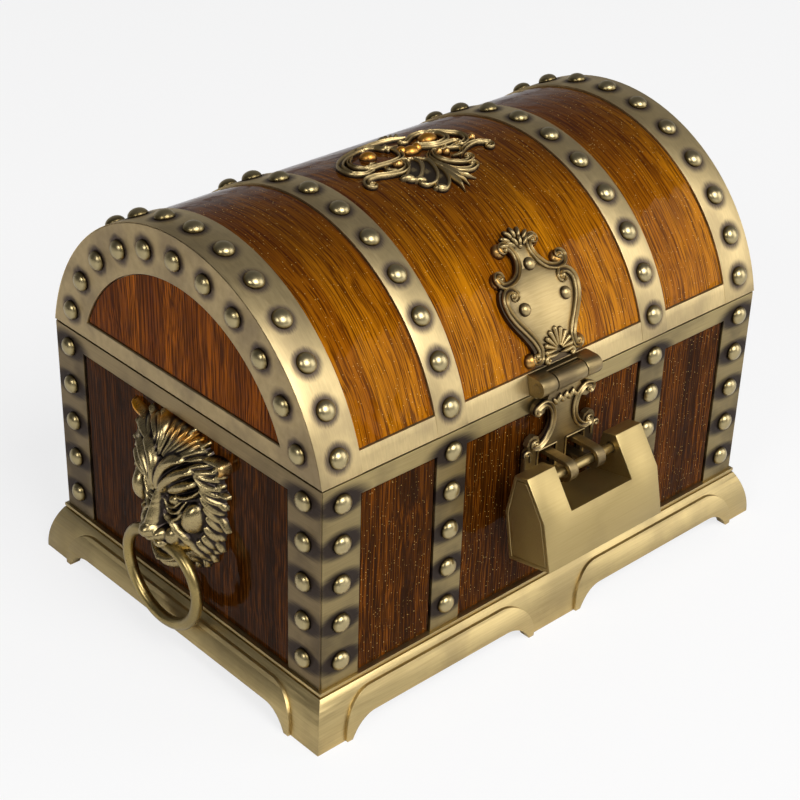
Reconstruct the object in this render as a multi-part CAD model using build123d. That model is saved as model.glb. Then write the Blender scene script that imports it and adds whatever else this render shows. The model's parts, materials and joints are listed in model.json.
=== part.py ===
from build123d import *
import math
import os

# Treasure chest box: a cast box with a barrel lid, enamelled wood-grain panels, domed rivets,
# lion masks with ring handles, and a hasp closed by a sliding-bar padlock.
# X runs along the front, the front faces -Y, Z is up. The pieces are drawn round the middle of the body,
# and body_set_back then brings the middle of the whole footprint, padlock and all, to the origin.

# Body
body_width = 175.0
body_depth = 120.8
body_set_back = 8.4
seam_height = 81.1
seam_gap = 0.4
wall_thickness = 3.4
field_recess = 1.8
corner_groove = 0.45
body_rail_height = 5.7
front_post_width = 13.5
end_post_width = 13.8
strap_width = 11.0
strap_offset = 41.2

# Base
base_height = 16.4
base_overhang = 5.25
ovolo_start = 0.95
base_wall = 2.6
bead_height = 1.0
bead_overhang = 0.8
neck_height = 0.6
neck_overhang = 0.25
ledge_width = 2.0
ledge_thickness = 1.6
front_foot_length = 12.0
end_foot_length = 13.7
centre_foot_width = 22.4
apron_height = 5.8
apron_corner_run = 8.8
rim_rise = 0.9
rim_top = 12.9
rim_foot_margin = 2.0
rim_corner_run = 11.0
bottom_plate_thickness = 1.6

# Enamel inlays and lining
inlay_set_back = 0.6
inlay_gap = 0.25
inlay_edge_bevel = 0.4
lining_gap = 0.3
lining_thickness = 1.4
lining_drop = 1.2

# Lid
lid_lean_angle = 11.2
lid_rail_height = 6.0
lid_rail_set_back = 0.1
end_band_width = 14.7
end_rail_height = 5.7
lid_post_width = 13.9
mitre_clearance = 0.1

# Rivets
rivet_diameter = 6.0
rivet_height = 2.2
dome_sides = 6
rivets_per_post = 5
post_rivet_drop = 6.1
post_rivet_rise = 7.6
front_rivet_inset = 6.8
end_rivet_inset = 7.1
rivets_per_strap = 13
strap_rivet_angle = 12.05
rivets_per_arch = 11
arch_rivet_angle = 13.9

# Round ends of all scrolls
eye_sides = 8

# Back hinges
hinge_offset = 60.4
hinge_width = 20.0
hinge_knuckle_radius = 2.4
hinge_pin_radius = 1.1
hinge_stand_off = 2.8
leaf_thickness = 1.5
leaf_height = 4.6
knuckle_clearance = 0.2
pin_clearance = 0.05

# Hasp and its hinge
hasp_knuckle_radius = 2.8
hasp_knuckle_width = 12.0
bracket_knuckle_width = 6.0
hasp_pin_radius = 1.2
hasp_pin_stand_off = 2.6
hasp_pin_rise = 3.2
bracket_strip_height = 2.2
bracket_strip_thickness = 0.9
hasp_back_gap = 0.5
hasp_thickness = 1.8
hasp_length = 34.0
hasp_half_width = 14.2
hasp_waist = 4.4
hasp_volute_radius = 2.5
hasp_upper_volute_x = 9.6
hasp_upper_volute_drop = 7.6
hasp_lower_volute_x = 11.4
hasp_lower_volute_drop = 18.2
hasp_window_width = 6.8
hasp_window_clearance = 0.5

# Staples that the padlock's bar goes through
staple_spacing = 11.4
staple_width = 3.2
staple_thickness = 1.4
staple_reach = 10.4
staple_bore_clearance = 0.5
staple_drop = 21.8
staple_leg_clearance = 0.1
staple_leg_depth = 1.0

# Padlock
lock_width = 47.2
lock_top_half = 2.5
lock_top_rise = 4.4
lock_shoulder_half = 7.7
lock_shoulder_drop = 8.0
lock_bottom_half = 8.0
lock_bottom_drop = 23.0
lock_notch_width = 25.2
lock_tilt = 11.6
lock_bar_radius = 1.4
lock_bar_engagement = 6.0
lock_bore_clearance = 0.25
lock_plate_thickness = 2.4
lock_plate_margin = 1.3
lock_plate_clearance = 0.15
lock_cavity_half = 4.6
lock_cavity_height = 8.6
lock_cavity_floor = 2.4
lock_cavity_end = 3.0
lock_tongue_width = 3.2
lock_tongue_height = 4.0
lock_tongue_length = 36.0
spring_thickness = 0.5
spring_length = 22.0
spring_spread = 1.5
key_slot_width = 1.6
key_slot_height = 6.4

# Lion masks and ring handles
ring_bar_height = 38.0
ring_stand_off = 8.6
ring_wire_radius = 1.8
ring_bar_half = 5.0
ring_half_width = 16.4
ring_drop = 27.2
ring_bore_clearance = 0.35
ring_sides = 8
ring_steps = 26
mask_half_width = 17.2
mask_lower = 6.0
mask_upper = 31.5
mane_thickness = 3.6
mane_taper = 24.0
mane_tufts = 13
mane_tuft_length = 5.6
inner_mane_thickness = 5.6
swelling_sides = 8
nose_reach = 15.5
nose_tip_width = 8.8
nose_root_width = 4.4

# Swellings of the lion's face as shares: x, y, half width, half height, reach
head_shares = (0, 0.41, 0.66, 0.52, 0.46)
mouth_shares = (0, 0.0, 0.42, 0.2, 0.68)
chin_shares = (0, -0.17, 0.32, 0.11, 0.62)
brow_shares = (0.34, 0.64, 0.29, 0.1, 0.72)
forehead_shares = (0.27, 0.85, 0.25, 0.11, 0.62)
cheek_shares = (0.66, 0.38, 0.2, 0.17, 0.56)
whisker_pad_shares = (0.27, 0.17, 0.26, 0.12, 0.8)
inner_mane_share = 0.74

# Cartouche on the lid's front
plate_foot_gap = 0.9
plate_thickness = 2.3
plate_crest_rise = 18.6
plate_crest_half = 5.6
plate_top_volute_x = 7.6
plate_top_volute_rise = 15.6
plate_arm_volute_x = 12.2
plate_arm_volute_rise = 8.4
plate_belly_half = 14.0
plate_belly_share = 0.9
plate_belly_rise = 1.6
plate_waist_half = 6.6
plate_waist_drop = 11.2
plate_foot_volute_x = 9.8
plate_foot_drop = 17.2
plate_volute_radius = 2.5
stud_radius = 1.7
stud_height = 1.5
stud_rise = 9.4
stud_side_x = 8.0
stud_side_drop = 1.4

# Ornament on the lid's top
ornament_half_width = 24.5
ornament_half_depth = 21.0
ornament_thickness = 2.0
ornament_band = 2.4
ornament_boss_radius = 4.4
ornament_lobe_half = 2.9

# Values worked out from the sizes above
overrun = 2 * base_overhang
half_width = body_width / 2
half_depth = body_depth / 2
body_top = seam_height - seam_gap / 2
lid_bottom = seam_height + seam_gap / 2
inlay_thickness = field_recess - inlay_set_back
arch_radius = half_depth / math.cos(math.radians(lid_lean_angle))
arch_height = seam_height - arch_radius * math.sin(math.radians(lid_lean_angle))
lid_rail_top = lid_bottom + lid_rail_height
inlay_radius = arch_radius - inlay_set_back
field_top = body_top - body_rail_height
inner_half_width = half_width - wall_thickness
inner_half_depth = half_depth - wall_thickness
floor_top = base_height + bottom_plate_thickness
post_rivet_span = seam_height - post_rivet_drop - base_height - post_rivet_rise
post_rivet_pitch = post_rivet_span / (rivets_per_post - 1)
plate_foot_turn = math.acos((lid_rail_top - arch_height) / arch_radius)
plate_reach_turn = math.asin((plate_foot_drop + plate_foot_gap) / inlay_radius)
plate_angle = math.degrees(plate_foot_turn - plate_reach_turn)
pin_y = -half_depth - hasp_pin_stand_off
pin_z = lid_bottom + hasp_pin_rise
hasp_back = -half_depth - hasp_back_gap
hasp_front = hasp_back - hasp_thickness
staple_inner = lock_bar_radius + staple_bore_clearance
staple_outer = staple_inner + staple_thickness
bar_y = -half_depth - staple_reach
bar_z = pin_z - staple_drop - staple_outer


def span_box(x_span, y_span, z_span):
    """A box from its lowest and highest place along each axis."""
    size = [high - low for low, high in (x_span, y_span, z_span)]
    middle = [(high + low) / 2 for low, high in (x_span, y_span, z_span)]
    return Pos(*middle) * Box(*size)


def x_rod(radius, x_span, y, z):
    """A round rod along X."""
    length = x_span[1] - x_span[0]
    return Pos((x_span[0] + x_span[1]) / 2, y, z) * Rot(Y=90) * Cylinder(radius, length)


def eye(radius):
    """The round end of a scroll, in a few flat sides."""
    return RegularPolygon(radius, eye_sides)


def turned(shape, side_angle):
    """A shape of the front side, turned about Z to another side."""
    return Rot(Z=side_angle) * shape


# Base sides


def mitred_plan(length, reach, outward, inward):
    """The plan of one side between its two mitres."""
    outer = length / 2 + outward
    inner = length / 2 - inward
    front = -reach - outward
    back = -reach + inward
    return make_face(Polyline((-outer, front), (outer, front), (inner, back), (-inner, back), close=True))


def base_profile(reach):
    """The moulding's section: bead, neck and ovolo outside, an even wall and a ledge inside."""
    rise = base_height - bead_height - neck_height
    radius = ((base_overhang - ovolo_start) ** 2 + rise**2) / (2 * (base_overhang - ovolo_start))
    centre = base_overhang - radius
    inner_radius = radius - base_wall
    ledge_bottom = base_height - ledge_thickness
    inner_top = centre + math.sqrt(inner_radius**2 - ledge_bottom**2)
    ledge_end = -wall_thickness - ledge_width
    outer = [
        (-reach - base_overhang, 0),
        (-reach - ovolo_start, rise),
        (-reach - neck_overhang, rise),
        (-reach - neck_overhang, rise + neck_height),
        (-reach - bead_overhang, rise + neck_height),
        (-reach - bead_overhang, base_height),
        (-reach - ledge_end, base_height),
        (-reach - ledge_end, ledge_bottom),
        (-reach - inner_top, ledge_bottom),
        (-reach - base_overhang + base_wall, 0),
    ]
    edges = [
        TangentArc(outer[0], outer[1], tangent=(0, 1)),
        Polyline(*outer[1:9]),
        TangentArc(outer[9], outer[8], tangent=(0, 1)),
        Line(outer[9], outer[0]),
    ]
    return Plane.YZ * make_face(edges), radius


def rim_profile(reach, radius):
    """The section of the raised rim round each arch."""
    outer_radius = radius + rim_rise
    centre = base_overhang - radius
    top_out = centre + math.sqrt(outer_radius**2 - rim_top**2)
    foot = (-reach - base_overhang - rim_rise, 0)
    top = (-reach - top_out, rim_top)
    back_top = (-reach - top_out + base_wall, rim_top)
    back_foot = (-reach - base_overhang + base_wall / 2, 0)
    edges = [TangentArc(foot, top, tangent=(0, 1)), Polyline(top, back_top, back_foot, foot)]
    return Plane.YZ * make_face(edges)


def arch_outline(x_low, x_high, height, run):
    """An opening with rounded upper corners, standing on the floor."""
    left = TangentArc((x_low + run, height), (x_low, 0), tangent=(-1, 0))
    right = TangentArc((x_high - run, height), (x_high, 0), tangent=(1, 0))
    top = Line((x_low + run, height), (x_high - run, height))
    return make_face([left, top, right, Line((x_low, 0), (x_high, 0))])


def arch_cutter(outline, reach):
    """An arch's outline run right through its side."""
    depth = reach + overrun
    return Pos(0, -depth, 0) * extrude(Plane.XZ * outline, -depth)


def base_side(length, reach, arches):
    """One mitred side of the base, with its feet, arches and raised rims."""
    profile, radius = base_profile(reach)
    whole = extrude(profile, length / 2 + overrun, both=True)
    raised = extrude(rim_profile(reach, radius), length / 2 + overrun, both=True)
    for low, high in arches:
        opening = arch_cutter(arch_outline(low, high, apron_height, apron_corner_run), reach)
        low_rim = low - rim_foot_margin
        high_rim = high + rim_foot_margin
        rim = arch_cutter(arch_outline(low_rim, high_rim, rim_top, rim_corner_run), reach)
        whole = whole + (raised & rim) - opening
    plan = mitred_plan(length, reach, overrun, wall_thickness + ledge_width)
    return whole & extrude(plan, base_height)


def front_arches():
    """The two arches of a long side, on each side of its centre foot."""
    outer = half_width + base_overhang - front_foot_length
    inner = centre_foot_width / 2
    return [(-outer, -inner), (inner, outer)]


def end_arches():
    """The single arch of an end."""
    outer = half_depth + base_overhang - end_foot_length
    return [(-outer, outer)]


def bottom_plate():
    """The floor of the box, lying on the ledges of the base sides."""
    return span_box(
        (-inner_half_width, inner_half_width), (-inner_half_depth, inner_half_depth), (base_height, floor_top)
    )


# Body walls and their enamel inlays


def wall(length, reach, fields):
    """One cast wall with mitred ends and sunk fields between its posts and straps."""
    plan = mitred_plan(length, reach, 0, wall_thickness)
    casting = Pos(0, 0, base_height) * extrude(plan, body_top - base_height)
    corners = casting.edges().filter_by(Axis.Z).group_by(Axis.Y)[0]
    casting = chamfer(corners, corner_groove)
    for low, high in fields:
        casting -= span_box((low, high), (-reach, -reach + field_recess), (base_height, field_top))
    return casting


def flat_inlay(field, reach):
    """The enamelled panel that fills one field."""
    low, high = field
    panel = span_box(
        (low + inlay_gap, high - inlay_gap),
        (-reach + inlay_set_back, -reach + field_recess),
        (base_height, field_top - inlay_gap),
    )
    face_edges = panel.faces().sort_by(Axis.Y)[0].edges()
    return chamfer(face_edges, inlay_edge_bevel)


def front_fields():
    """The three fields of a long wall, from left to right."""
    inner = strap_offset - strap_width / 2
    outer = strap_offset + strap_width / 2
    end = half_width - front_post_width
    return [(-end, -outer), (-inner, inner), (outer, end)]


def end_fields():
    """The single field of an end wall."""
    end = half_depth - end_post_width
    return [(-end, end)]


def chest_lining():
    """The velvet-covered tray inside the body."""
    x_out = inner_half_width - lining_gap
    y_out = inner_half_depth - lining_gap
    top = body_top - lining_drop
    outer = span_box((-x_out, x_out), (-y_out, y_out), (floor_top, top))
    x_in = x_out - lining_thickness
    y_in = y_out - lining_thickness
    return outer - span_box((-x_in, x_in), (-y_in, y_in), (floor_top + lining_thickness, top + overrun))


# Lid


def above(height, radius):
    """A sketch in the YZ plane that covers everything of an arch above one height."""
    return Plane.YZ * Pos(0, height + radius) * Rectangle(4 * radius, 2 * radius)


def arch_face(radius, low):
    """The area under an arch of the lid's centre, above a height."""
    return (Plane.YZ * Pos(0, arch_height) * Circle(radius)) & above(low, arch_radius + overrun)


def arch_ring(outer, inner, low):
    """A curved band of the lid's section, above a height."""
    return arch_face(outer, low) - arch_face(inner, low)


def mitre_cone(clearance):
    """The cone along X on which an end of the lid meets the barrel, at the left end."""
    cone = Cone(arch_radius - clearance, arch_radius - wall_thickness - clearance, wall_thickness)
    return Pos(-half_width + wall_thickness / 2, 0, arch_height) * Rot(Y=90) * cone


def lid_fields():
    """The three fields of the barrel, from left to right."""
    inner = strap_offset - strap_width / 2
    outer = strap_offset + strap_width / 2
    end = half_width - lid_post_width
    return [(-end, -outer), (-inner, inner), (outer, end)]


def lid_barrel():
    """The curved casting of the lid: a thin barrel with raised straps and rails."""
    thin = arch_ring(arch_radius - field_recess, arch_radius - wall_thickness, lid_bottom)
    strap = arch_ring(arch_radius, arch_radius - field_recess, lid_bottom)
    rail_radius = arch_radius - lid_rail_set_back
    rails = arch_ring(rail_radius, arch_radius - field_recess, lid_bottom)
    rails -= above(lid_rail_top, arch_radius + overrun)
    fields = lid_fields()
    starts = [-half_width] + [high for low, high in fields]
    ends = [low for low, high in fields] + [half_width]
    raised = [Pos(low, 0, 0) * extrude(strap, high - low) for low, high in zip(starts, ends)]
    raised += [Pos(low, 0, 0) * extrude(rails, high - low) for low, high in fields]
    barrel = extrude(thin, half_width, both=True).fuse(*raised)
    return barrel.cut(mitre_cone(0), turned(mitre_cone(0), 180))


def barrel_inlay(field):
    """A curved enamelled panel of the barrel."""
    low, high = field
    section = arch_ring(inlay_radius, arch_radius - field_recess, lid_rail_top + inlay_gap)
    return Pos(low + inlay_gap, 0, 0) * extrude(section, high - low - 2 * inlay_gap)


def lid_end():
    """The left end of the lid: a half-round casting with a sunk field."""
    low_cut = Pos(0, 0, lid_bottom - arch_radius) * Box(2 * body_width, 4 * arch_radius, 2 * arch_radius)
    casting = mitre_cone(mitre_clearance) - low_cut
    field = extrude(arch_face(arch_radius - end_band_width, lid_bottom + end_rail_height), field_recess)
    return casting - Pos(-half_width, 0, 0) * field


def lid_end_inlay():
    """The half-round enamelled panel of the lid's left end."""
    radius = arch_radius - end_band_width - inlay_gap
    section = arch_face(radius, lid_bottom + end_rail_height + inlay_gap)
    return Pos(-half_width + inlay_set_back, 0, 0) * extrude(section, inlay_thickness)


def lid_lining():
    """The velvet-covered shell inside the lid."""
    radius = arch_radius - wall_thickness - lining_gap
    length = inner_half_width - lining_gap
    low = lid_bottom + lining_drop
    outer = extrude(arch_face(radius, low), length, both=True)
    inner = extrude(arch_face(radius - lining_thickness, low - lining_drop), length - lining_thickness, both=True)
    return outer - inner


# Rivets


def dome(radius, height):
    """A domed head on the XY plane, in flat facets."""
    crown_share = 0.42
    taper = math.degrees(math.atan2(radius * (1 - crown_share), height))
    return extrude(RegularPolygon(radius, dome_sides), height, taper=taper)


def rivet():
    """The domed head of one rivet."""
    return dome(rivet_diameter / 2, rivet_height)


def seat(x, y, z, outward):
    """The place of a piece that stands on a face with this outward direction."""
    return Plane(origin=(x, y, z), z_dir=outward).location


def post_rivets(x_places, reach):
    """The rivets of one body side."""
    top = field_top + body_rail_height - post_rivet_drop
    heads = []
    for x in x_places:
        for n in range(rivets_per_post):
            heads.append(seat(x, -reach, top - n * post_rivet_pitch, (0, -1, 0)) * rivet())
    return heads


def strap_rivets():
    """The rivets along the four straps of the barrel."""
    end = half_width - front_rivet_inset
    heads = []
    for x in (-end, -strap_offset, strap_offset, end):
        for n in range(rivets_per_strap):
            turn = math.radians((n - (rivets_per_strap - 1) / 2) * strap_rivet_angle)
            outward = (0, math.sin(turn), math.cos(turn))
            place = (x, arch_radius * outward[1], arch_height + arch_radius * outward[2])
            heads.append(seat(*place, outward) * rivet())
    return heads


def arch_rivets():
    """The rivets round the arch of the lid's left end."""
    ring = arch_radius - end_band_width / 2
    heads = []
    for n in range(rivets_per_arch):
        turn = math.radians((n - (rivets_per_arch - 1) / 2) * arch_rivet_angle)
        place = (-half_width, ring * math.sin(turn), arch_height + ring * math.cos(turn))
        heads.append(seat(*place, (-1, 0, 0)) * rivet())
    return heads


# Back hinges


def hinge_axis():
    """Where the lid's pins run, as y and z."""
    return half_depth + hinge_stand_off, seam_height


def hinge_knuckle(x_span):
    """One bored knuckle of a back hinge."""
    y, z = hinge_axis()
    return x_rod(hinge_knuckle_radius, x_span, y, z)


def hinge_pin(x, clearance):
    """The hinge's pin, or with a clearance the hole for it."""
    y, z = hinge_axis()
    return x_rod(hinge_pin_radius + clearance, (x - hinge_width / 2, x + hinge_width / 2), y, z)


def body_leaf(x):
    """The leaf on the body's back rail, with the two outer knuckles and the pin fixed in them."""
    third = hinge_width / 3
    y, z = hinge_axis()
    low = z - hinge_knuckle_radius - leaf_height / 2
    x_all = (x - hinge_width / 2, x + hinge_width / 2)
    plate = span_box(x_all, (half_depth, half_depth + leaf_thickness), (low, z))
    gap = span_box(
        (x - third / 2 - knuckle_clearance, x + third / 2 + knuckle_clearance),
        (half_depth - overrun, y + overrun),
        (z - hinge_knuckle_radius - knuckle_clearance, z + overrun),
    )
    leaf = plate - gap + hinge_pin(x, 0)
    for side in (-1, 1):
        x_span = sorted((x + side * (third / 2 + knuckle_clearance), x + side * hinge_width / 2))
        root = span_box(x_span, (half_depth, y), (z - hinge_knuckle_radius, z - seam_gap / 2))
        leaf += hinge_knuckle(x_span) + root
    return leaf


def lid_leaf(x):
    """The leaf on the lid's back rail, with the middle knuckle."""
    third = hinge_width / 3
    y, z = hinge_axis()
    high = z + hinge_knuckle_radius + leaf_height / 2
    low = z + hinge_knuckle_radius + knuckle_clearance
    x_all = (x - hinge_width / 2, x + hinge_width / 2)
    plate = span_box(x_all, (half_depth - leaf_thickness, half_depth + leaf_thickness / 2), (low, high))
    x_span = (x - third / 2, x + third / 2)
    root = span_box(x_span, (half_depth - leaf_thickness, y), (z + seam_gap / 2, high - leaf_thickness))
    lid_skin = x_rod(arch_radius + pin_clearance, (x - hinge_width, x + hinge_width), 0, arch_height)
    return plate + root - lid_skin + hinge_knuckle(x_span) - hinge_pin(x, pin_clearance)


# Hasp hinge, hasp and staples


def hasp_bracket():
    """The block on the lid's front rail that carries the hasp's pin in two knuckles."""
    inner = hasp_knuckle_width / 2 + knuckle_clearance
    outer = hasp_knuckle_width / 2 + bracket_knuckle_width
    lid_skin = x_rod(arch_radius + pin_clearance, (-half_width, half_width), 0, arch_height)
    back = -half_depth + wall_thickness
    top = pin_z + hasp_knuckle_radius
    strip = span_box(
        (-outer, outer), (-half_depth - bracket_strip_thickness / 2, back), (top - bracket_strip_height, top)
    )
    block = strip - x_rod(hasp_knuckle_radius + knuckle_clearance, (-outer, outer), pin_y, pin_z)
    for side in (-1, 1):
        x_span = sorted((side * inner, side * outer))
        web = span_box(x_span, (pin_y, back), (lid_bottom, top))
        block += x_rod(hasp_knuckle_radius, x_span, pin_y, pin_z) + web
    bore = x_rod(hasp_pin_radius + pin_clearance, (-half_width, half_width), pin_y, pin_z)
    return block - lid_skin - bore


def hasp_pin():
    """The hasp's pin, flush with the ends of the bracket."""
    reach = hasp_knuckle_width / 2 + bracket_knuckle_width
    return x_rod(hasp_pin_radius, (-reach, reach), pin_y, pin_z)


def hasp_outline():
    """The hasp's front outline, with its pin at the origin of the sketch."""
    neck = hasp_knuckle_width / 2 - knuckle_clearance
    shoulder = -hasp_lower_volute_drop
    low = -hasp_length
    corner = hasp_half_width / 2
    neck_low = -hasp_pin_rise - knuckle_clearance
    sides = []
    for side in (1, -1):
        upper = (side * (hasp_upper_volute_x - hasp_volute_radius / 2), -hasp_upper_volute_drop)
        middle = (side * hasp_waist, (shoulder - hasp_upper_volute_drop) / 2)
        lower = (side * hasp_lower_volute_x, shoulder)
        lower_side = (side * hasp_half_width, shoulder - hasp_volute_radius)
        lower_corner = (side * hasp_half_width, low + corner)
        sides.append(
            [
                Line((side * neck, 0), (side * neck, neck_low)),
                Line((side * neck, neck_low), upper),
                ThreePointArc(upper, middle, lower),
                Line(lower, lower_side),
                Line(lower_side, lower_corner),
                TangentArc(lower_corner, (0, low), tangent=(0, -1)),
            ]
        )
    top = Line((-neck, 0), (neck, 0))
    body = make_face(sides[0] + sides[1] + [top])
    for side in (1, -1):
        body += Pos(side * hasp_upper_volute_x, -hasp_upper_volute_drop) * eye(hasp_volute_radius)
        body += Pos(side * hasp_lower_volute_x, -hasp_lower_volute_drop) * eye(hasp_volute_radius)
    return body


def staple_far_radius():
    """How far from the hasp's pin the staples reach as the hasp swings over them."""
    away = math.hypot(bar_y - pin_y, bar_z - pin_z)
    return away + staple_outer


def hasp():
    """The swinging hasp: a knuckle and a scrolled plate with two windows for the staples."""
    plate = Pos(0, hasp_back, pin_z) * extrude(Plane.XZ * hasp_outline(), hasp_thickness)
    window_top = pin_z - staple_drop + hasp_window_clearance
    window_low = pin_z - staple_far_radius() - hasp_window_clearance
    for side in (-1, 1):
        middle = side * staple_spacing / 2
        plate -= span_box(
            (middle - hasp_window_width / 2, middle + hasp_window_width / 2),
            (hasp_front - overrun, hasp_back + overrun),
            (window_low, window_top),
        )
    neck = hasp_knuckle_width / 2 - knuckle_clearance
    knuckle = x_rod(hasp_knuckle_radius, (-neck, neck), pin_y, pin_z)
    above_pin = span_box((-half_width, half_width), (-body_depth, 0), (pin_z, pin_z + overrun))
    bore = x_rod(hasp_pin_radius + pin_clearance, (-half_width, half_width), pin_y, pin_z)
    return plate - above_pin + knuckle - bore


def staple_outline(radius):
    """The side outline of a staple at one radius round the bar, from its leg's end in the wall."""
    leg_end = -half_depth + field_recess + staple_leg_depth
    legs = Pos((bar_y + leg_end) / 2, bar_z) * Rectangle(leg_end - bar_y, 2 * radius)
    return legs + Pos(bar_y, bar_z) * Circle(radius)


def staple(side):
    """One of the two staples that stand out of the body's front."""
    section = staple_outline(staple_outer) - staple_outline(staple_inner)
    low = side * staple_spacing / 2 - staple_width / 2
    return Pos(low, 0, 0) * extrude(Plane.YZ * section, staple_width)


def staple_slots():
    """The slots that the staples' legs fill in the front wall and its inlay."""
    outer = staple_outer + staple_leg_clearance
    inner = staple_inner - staple_leg_clearance
    depth = -half_depth + field_recess + staple_leg_depth
    slots = []
    for side in (-1, 1):
        middle = side * staple_spacing / 2
        reach = staple_width / 2 + staple_leg_clearance
        for low, high in ((inner, outer), (-outer, -inner)):
            x_span = (middle - reach, middle + reach)
            slots.append(span_box(x_span, (-half_depth - overrun, depth), (bar_z + low, bar_z + high)))
    return slots


# Padlock, drawn hanging straight with its bar on the origin and its front towards -Y


def lock_section(margin):
    """The padlock's end outline, drawn in by a margin."""
    half = [
        (lock_top_half - margin / 2, lock_top_rise - margin),
        (lock_shoulder_half - margin, -lock_shoulder_drop),
        (lock_bottom_half - margin, -lock_bottom_drop + margin),
    ]
    mirrored = [(-y, z) for y, z in reversed(half)]
    return Plane.YZ * make_face(Polyline(*half, *mirrored, close=True))


def lock_cavity_span():
    """The height of the hollow for the bolt's tongue, as low and high."""
    low = -lock_bottom_drop + lock_cavity_floor
    return low, low + lock_cavity_height


def hung(shape):
    """A padlock piece put in its place on the staples, leaning as it hangs."""
    return Pos(0, bar_y, bar_z) * Rot(X=-lock_tilt) * shape


def padlock_case():
    """The padlock's body with two towers, a notch, bores for the bar and a hollow for the bolt."""
    half = lock_width / 2
    case = extrude(lock_section(0), half, both=True)
    notch = lock_notch_width / 2
    case -= span_box((-notch, notch), (-overrun, overrun), (-lock_shoulder_drop, lock_top_rise + overrun))
    plate_pocket = Pos(-half, 0, 0) * extrude(lock_section(lock_plate_margin), lock_plate_thickness)
    case -= plate_pocket
    low, high = lock_cavity_span()
    case -= span_box((-half, half - lock_cavity_end), (-lock_cavity_half, lock_cavity_half), (low, high))
    bore_end = notch + lock_bar_engagement + lock_bore_clearance
    case -= x_rod(lock_bar_radius + lock_bore_clearance, (-half, bore_end), 0, 0)
    slot_middle = (low + high) / 2
    return case - span_box(
        (half - lock_cavity_end - overrun, half + overrun),
        (-key_slot_width / 2, key_slot_width / 2),
        (slot_middle - key_slot_height / 2, slot_middle + key_slot_height / 2),
    )


def padlock_bar():
    """The sliding bar: an end plate with the round bar and the bolt's flat tongue."""
    half = lock_width / 2
    plate = Pos(-half, 0, 0) * extrude(
        lock_section(lock_plate_margin + lock_plate_clearance), lock_plate_thickness - lock_plate_clearance
    )
    bar = x_rod(lock_bar_radius, (-half, lock_notch_width / 2 + lock_bar_engagement), 0, 0)
    low, high = lock_cavity_span()
    middle = (low + high) / 2
    tongue = span_box(
        (-half, -half + lock_tongue_length),
        (-lock_tongue_width / 2, lock_tongue_width / 2),
        (middle - lock_tongue_height / 2, middle + lock_tongue_height / 2),
    )
    return plate + bar + tongue


def padlock_springs():
    """The two leaf springs that stand off the tongue and hold the bolt in the case."""
    tip = -lock_width / 2 + lock_tongue_length
    low, high = lock_cavity_span()
    middle = (low + high) / 2
    root = lock_tongue_width / 2
    leaves = []
    for side in (-1, 1):
        outline = Polyline(
            (tip, side * root),
            (tip, side * (root + spring_thickness)),
            (tip - spring_length, side * (root + spring_spread)),
            (tip - spring_length, side * (root + spring_spread - spring_thickness)),
            close=True,
        )
        leaf = extrude(make_face(outline), lock_tongue_height / 2, both=True)
        leaves.append(Pos(0, 0, middle) * leaf)
    return leaves


# Lion masks and ring handles, drawn facing +Z with the ring's bar across the origin


def swelling(shares, side):
    """A swelling of the face: place and half axes as shares of the mask, height as one of the nose's reach."""
    edge_in_share = 0.35
    x, y, half_x, half_y, height = shares
    across, along = mask_half_width * half_x, mask_upper * half_y
    points = []
    for n in range(swelling_sides):
        turn = 2 * math.pi * n / swelling_sides
        points.append((across * math.cos(turn), along * math.sin(turn)))
    reach = nose_reach * height
    taper = math.degrees(math.atan2(min(across, along) * edge_in_share, reach))
    place = Pos(side * mask_half_width * x, mask_upper * y, 0)
    return place * extrude(make_face(Polyline(*points, close=True)), reach, taper=taper)


def mane_plate(size_share, thickness):
    """One layer of the mane: a tapered plate whose locks point away from the forehead."""
    root_share = 0.88
    forehead_share = 0.7
    middle = (mask_upper - mask_lower) / 2
    half_height = (mask_upper + mask_lower) / 2
    forehead = mask_upper * forehead_share
    points = []
    for n in range(2 * mane_tufts):
        turn = math.radians(90 + 180 * n / mane_tufts)
        x = mask_half_width * size_share * math.cos(turn)
        y = middle + half_height * size_share * math.sin(turn)
        if n % 2:
            points.append((x * root_share, middle + (y - middle) * root_share))
        else:
            away = math.hypot(x, y - forehead) / mane_tuft_length
            points.append((x + x / away, y + (y - forehead) / away))
    inward = 1 - thickness * math.tan(math.radians(mane_taper)) / half_height
    inner_points = [(x * inward, middle + (y - middle) * inward) for x, y in points]
    foot = make_face(Polyline(*points, close=True))
    top = make_face(Polyline(*inner_points, close=True))
    return loft([foot, Pos(0, 0, thickness) * top], ruled=True)


def nose():
    """The nose: a ridge that rises and widens from between the brows to its blunt tip."""
    root_reach_share = 0.6
    root_height_share = 0.66
    flank_angle = 80
    low = ring_wire_radius + ring_bore_clearance + ring_wire_radius
    high = mask_upper * root_height_share
    back = nose_reach * root_reach_share
    tip_face = Plane((0, low, 0), x_dir=(1, 0, 0), z_dir=(0, 1, 0))
    root_face = Plane((0, high, 0), x_dir=(1, 0, 0), z_dir=(0, 1, 0))
    tip = tip_face * Pos(0, -nose_reach / 2) * Trapezoid(nose_tip_width, nose_reach, flank_angle, rotation=180)
    root = root_face * Pos(0, -back / 2) * Trapezoid(nose_root_width, back, flank_angle, rotation=180)
    return loft([tip, root], ruled=True)


def lion_mask():
    """A lion's mask with mane, brows, nose, muzzle, cheeks and an open mouth for the ring."""
    mask = mane_plate(1, mane_thickness) + mane_plate(inner_mane_share, inner_mane_thickness) + nose()
    for shares in (head_shares, mouth_shares, chin_shares):
        mask += swelling(shares, 0)
    for shares in (brow_shares, forehead_shares, cheek_shares, whisker_pad_shares):
        mask += swelling(shares, -1) + swelling(shares, 1)
    bore_radius = ring_wire_radius + ring_bore_clearance
    return mask - x_rod(bore_radius, (-mask_half_width, mask_half_width), 0, ring_stand_off)


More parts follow.
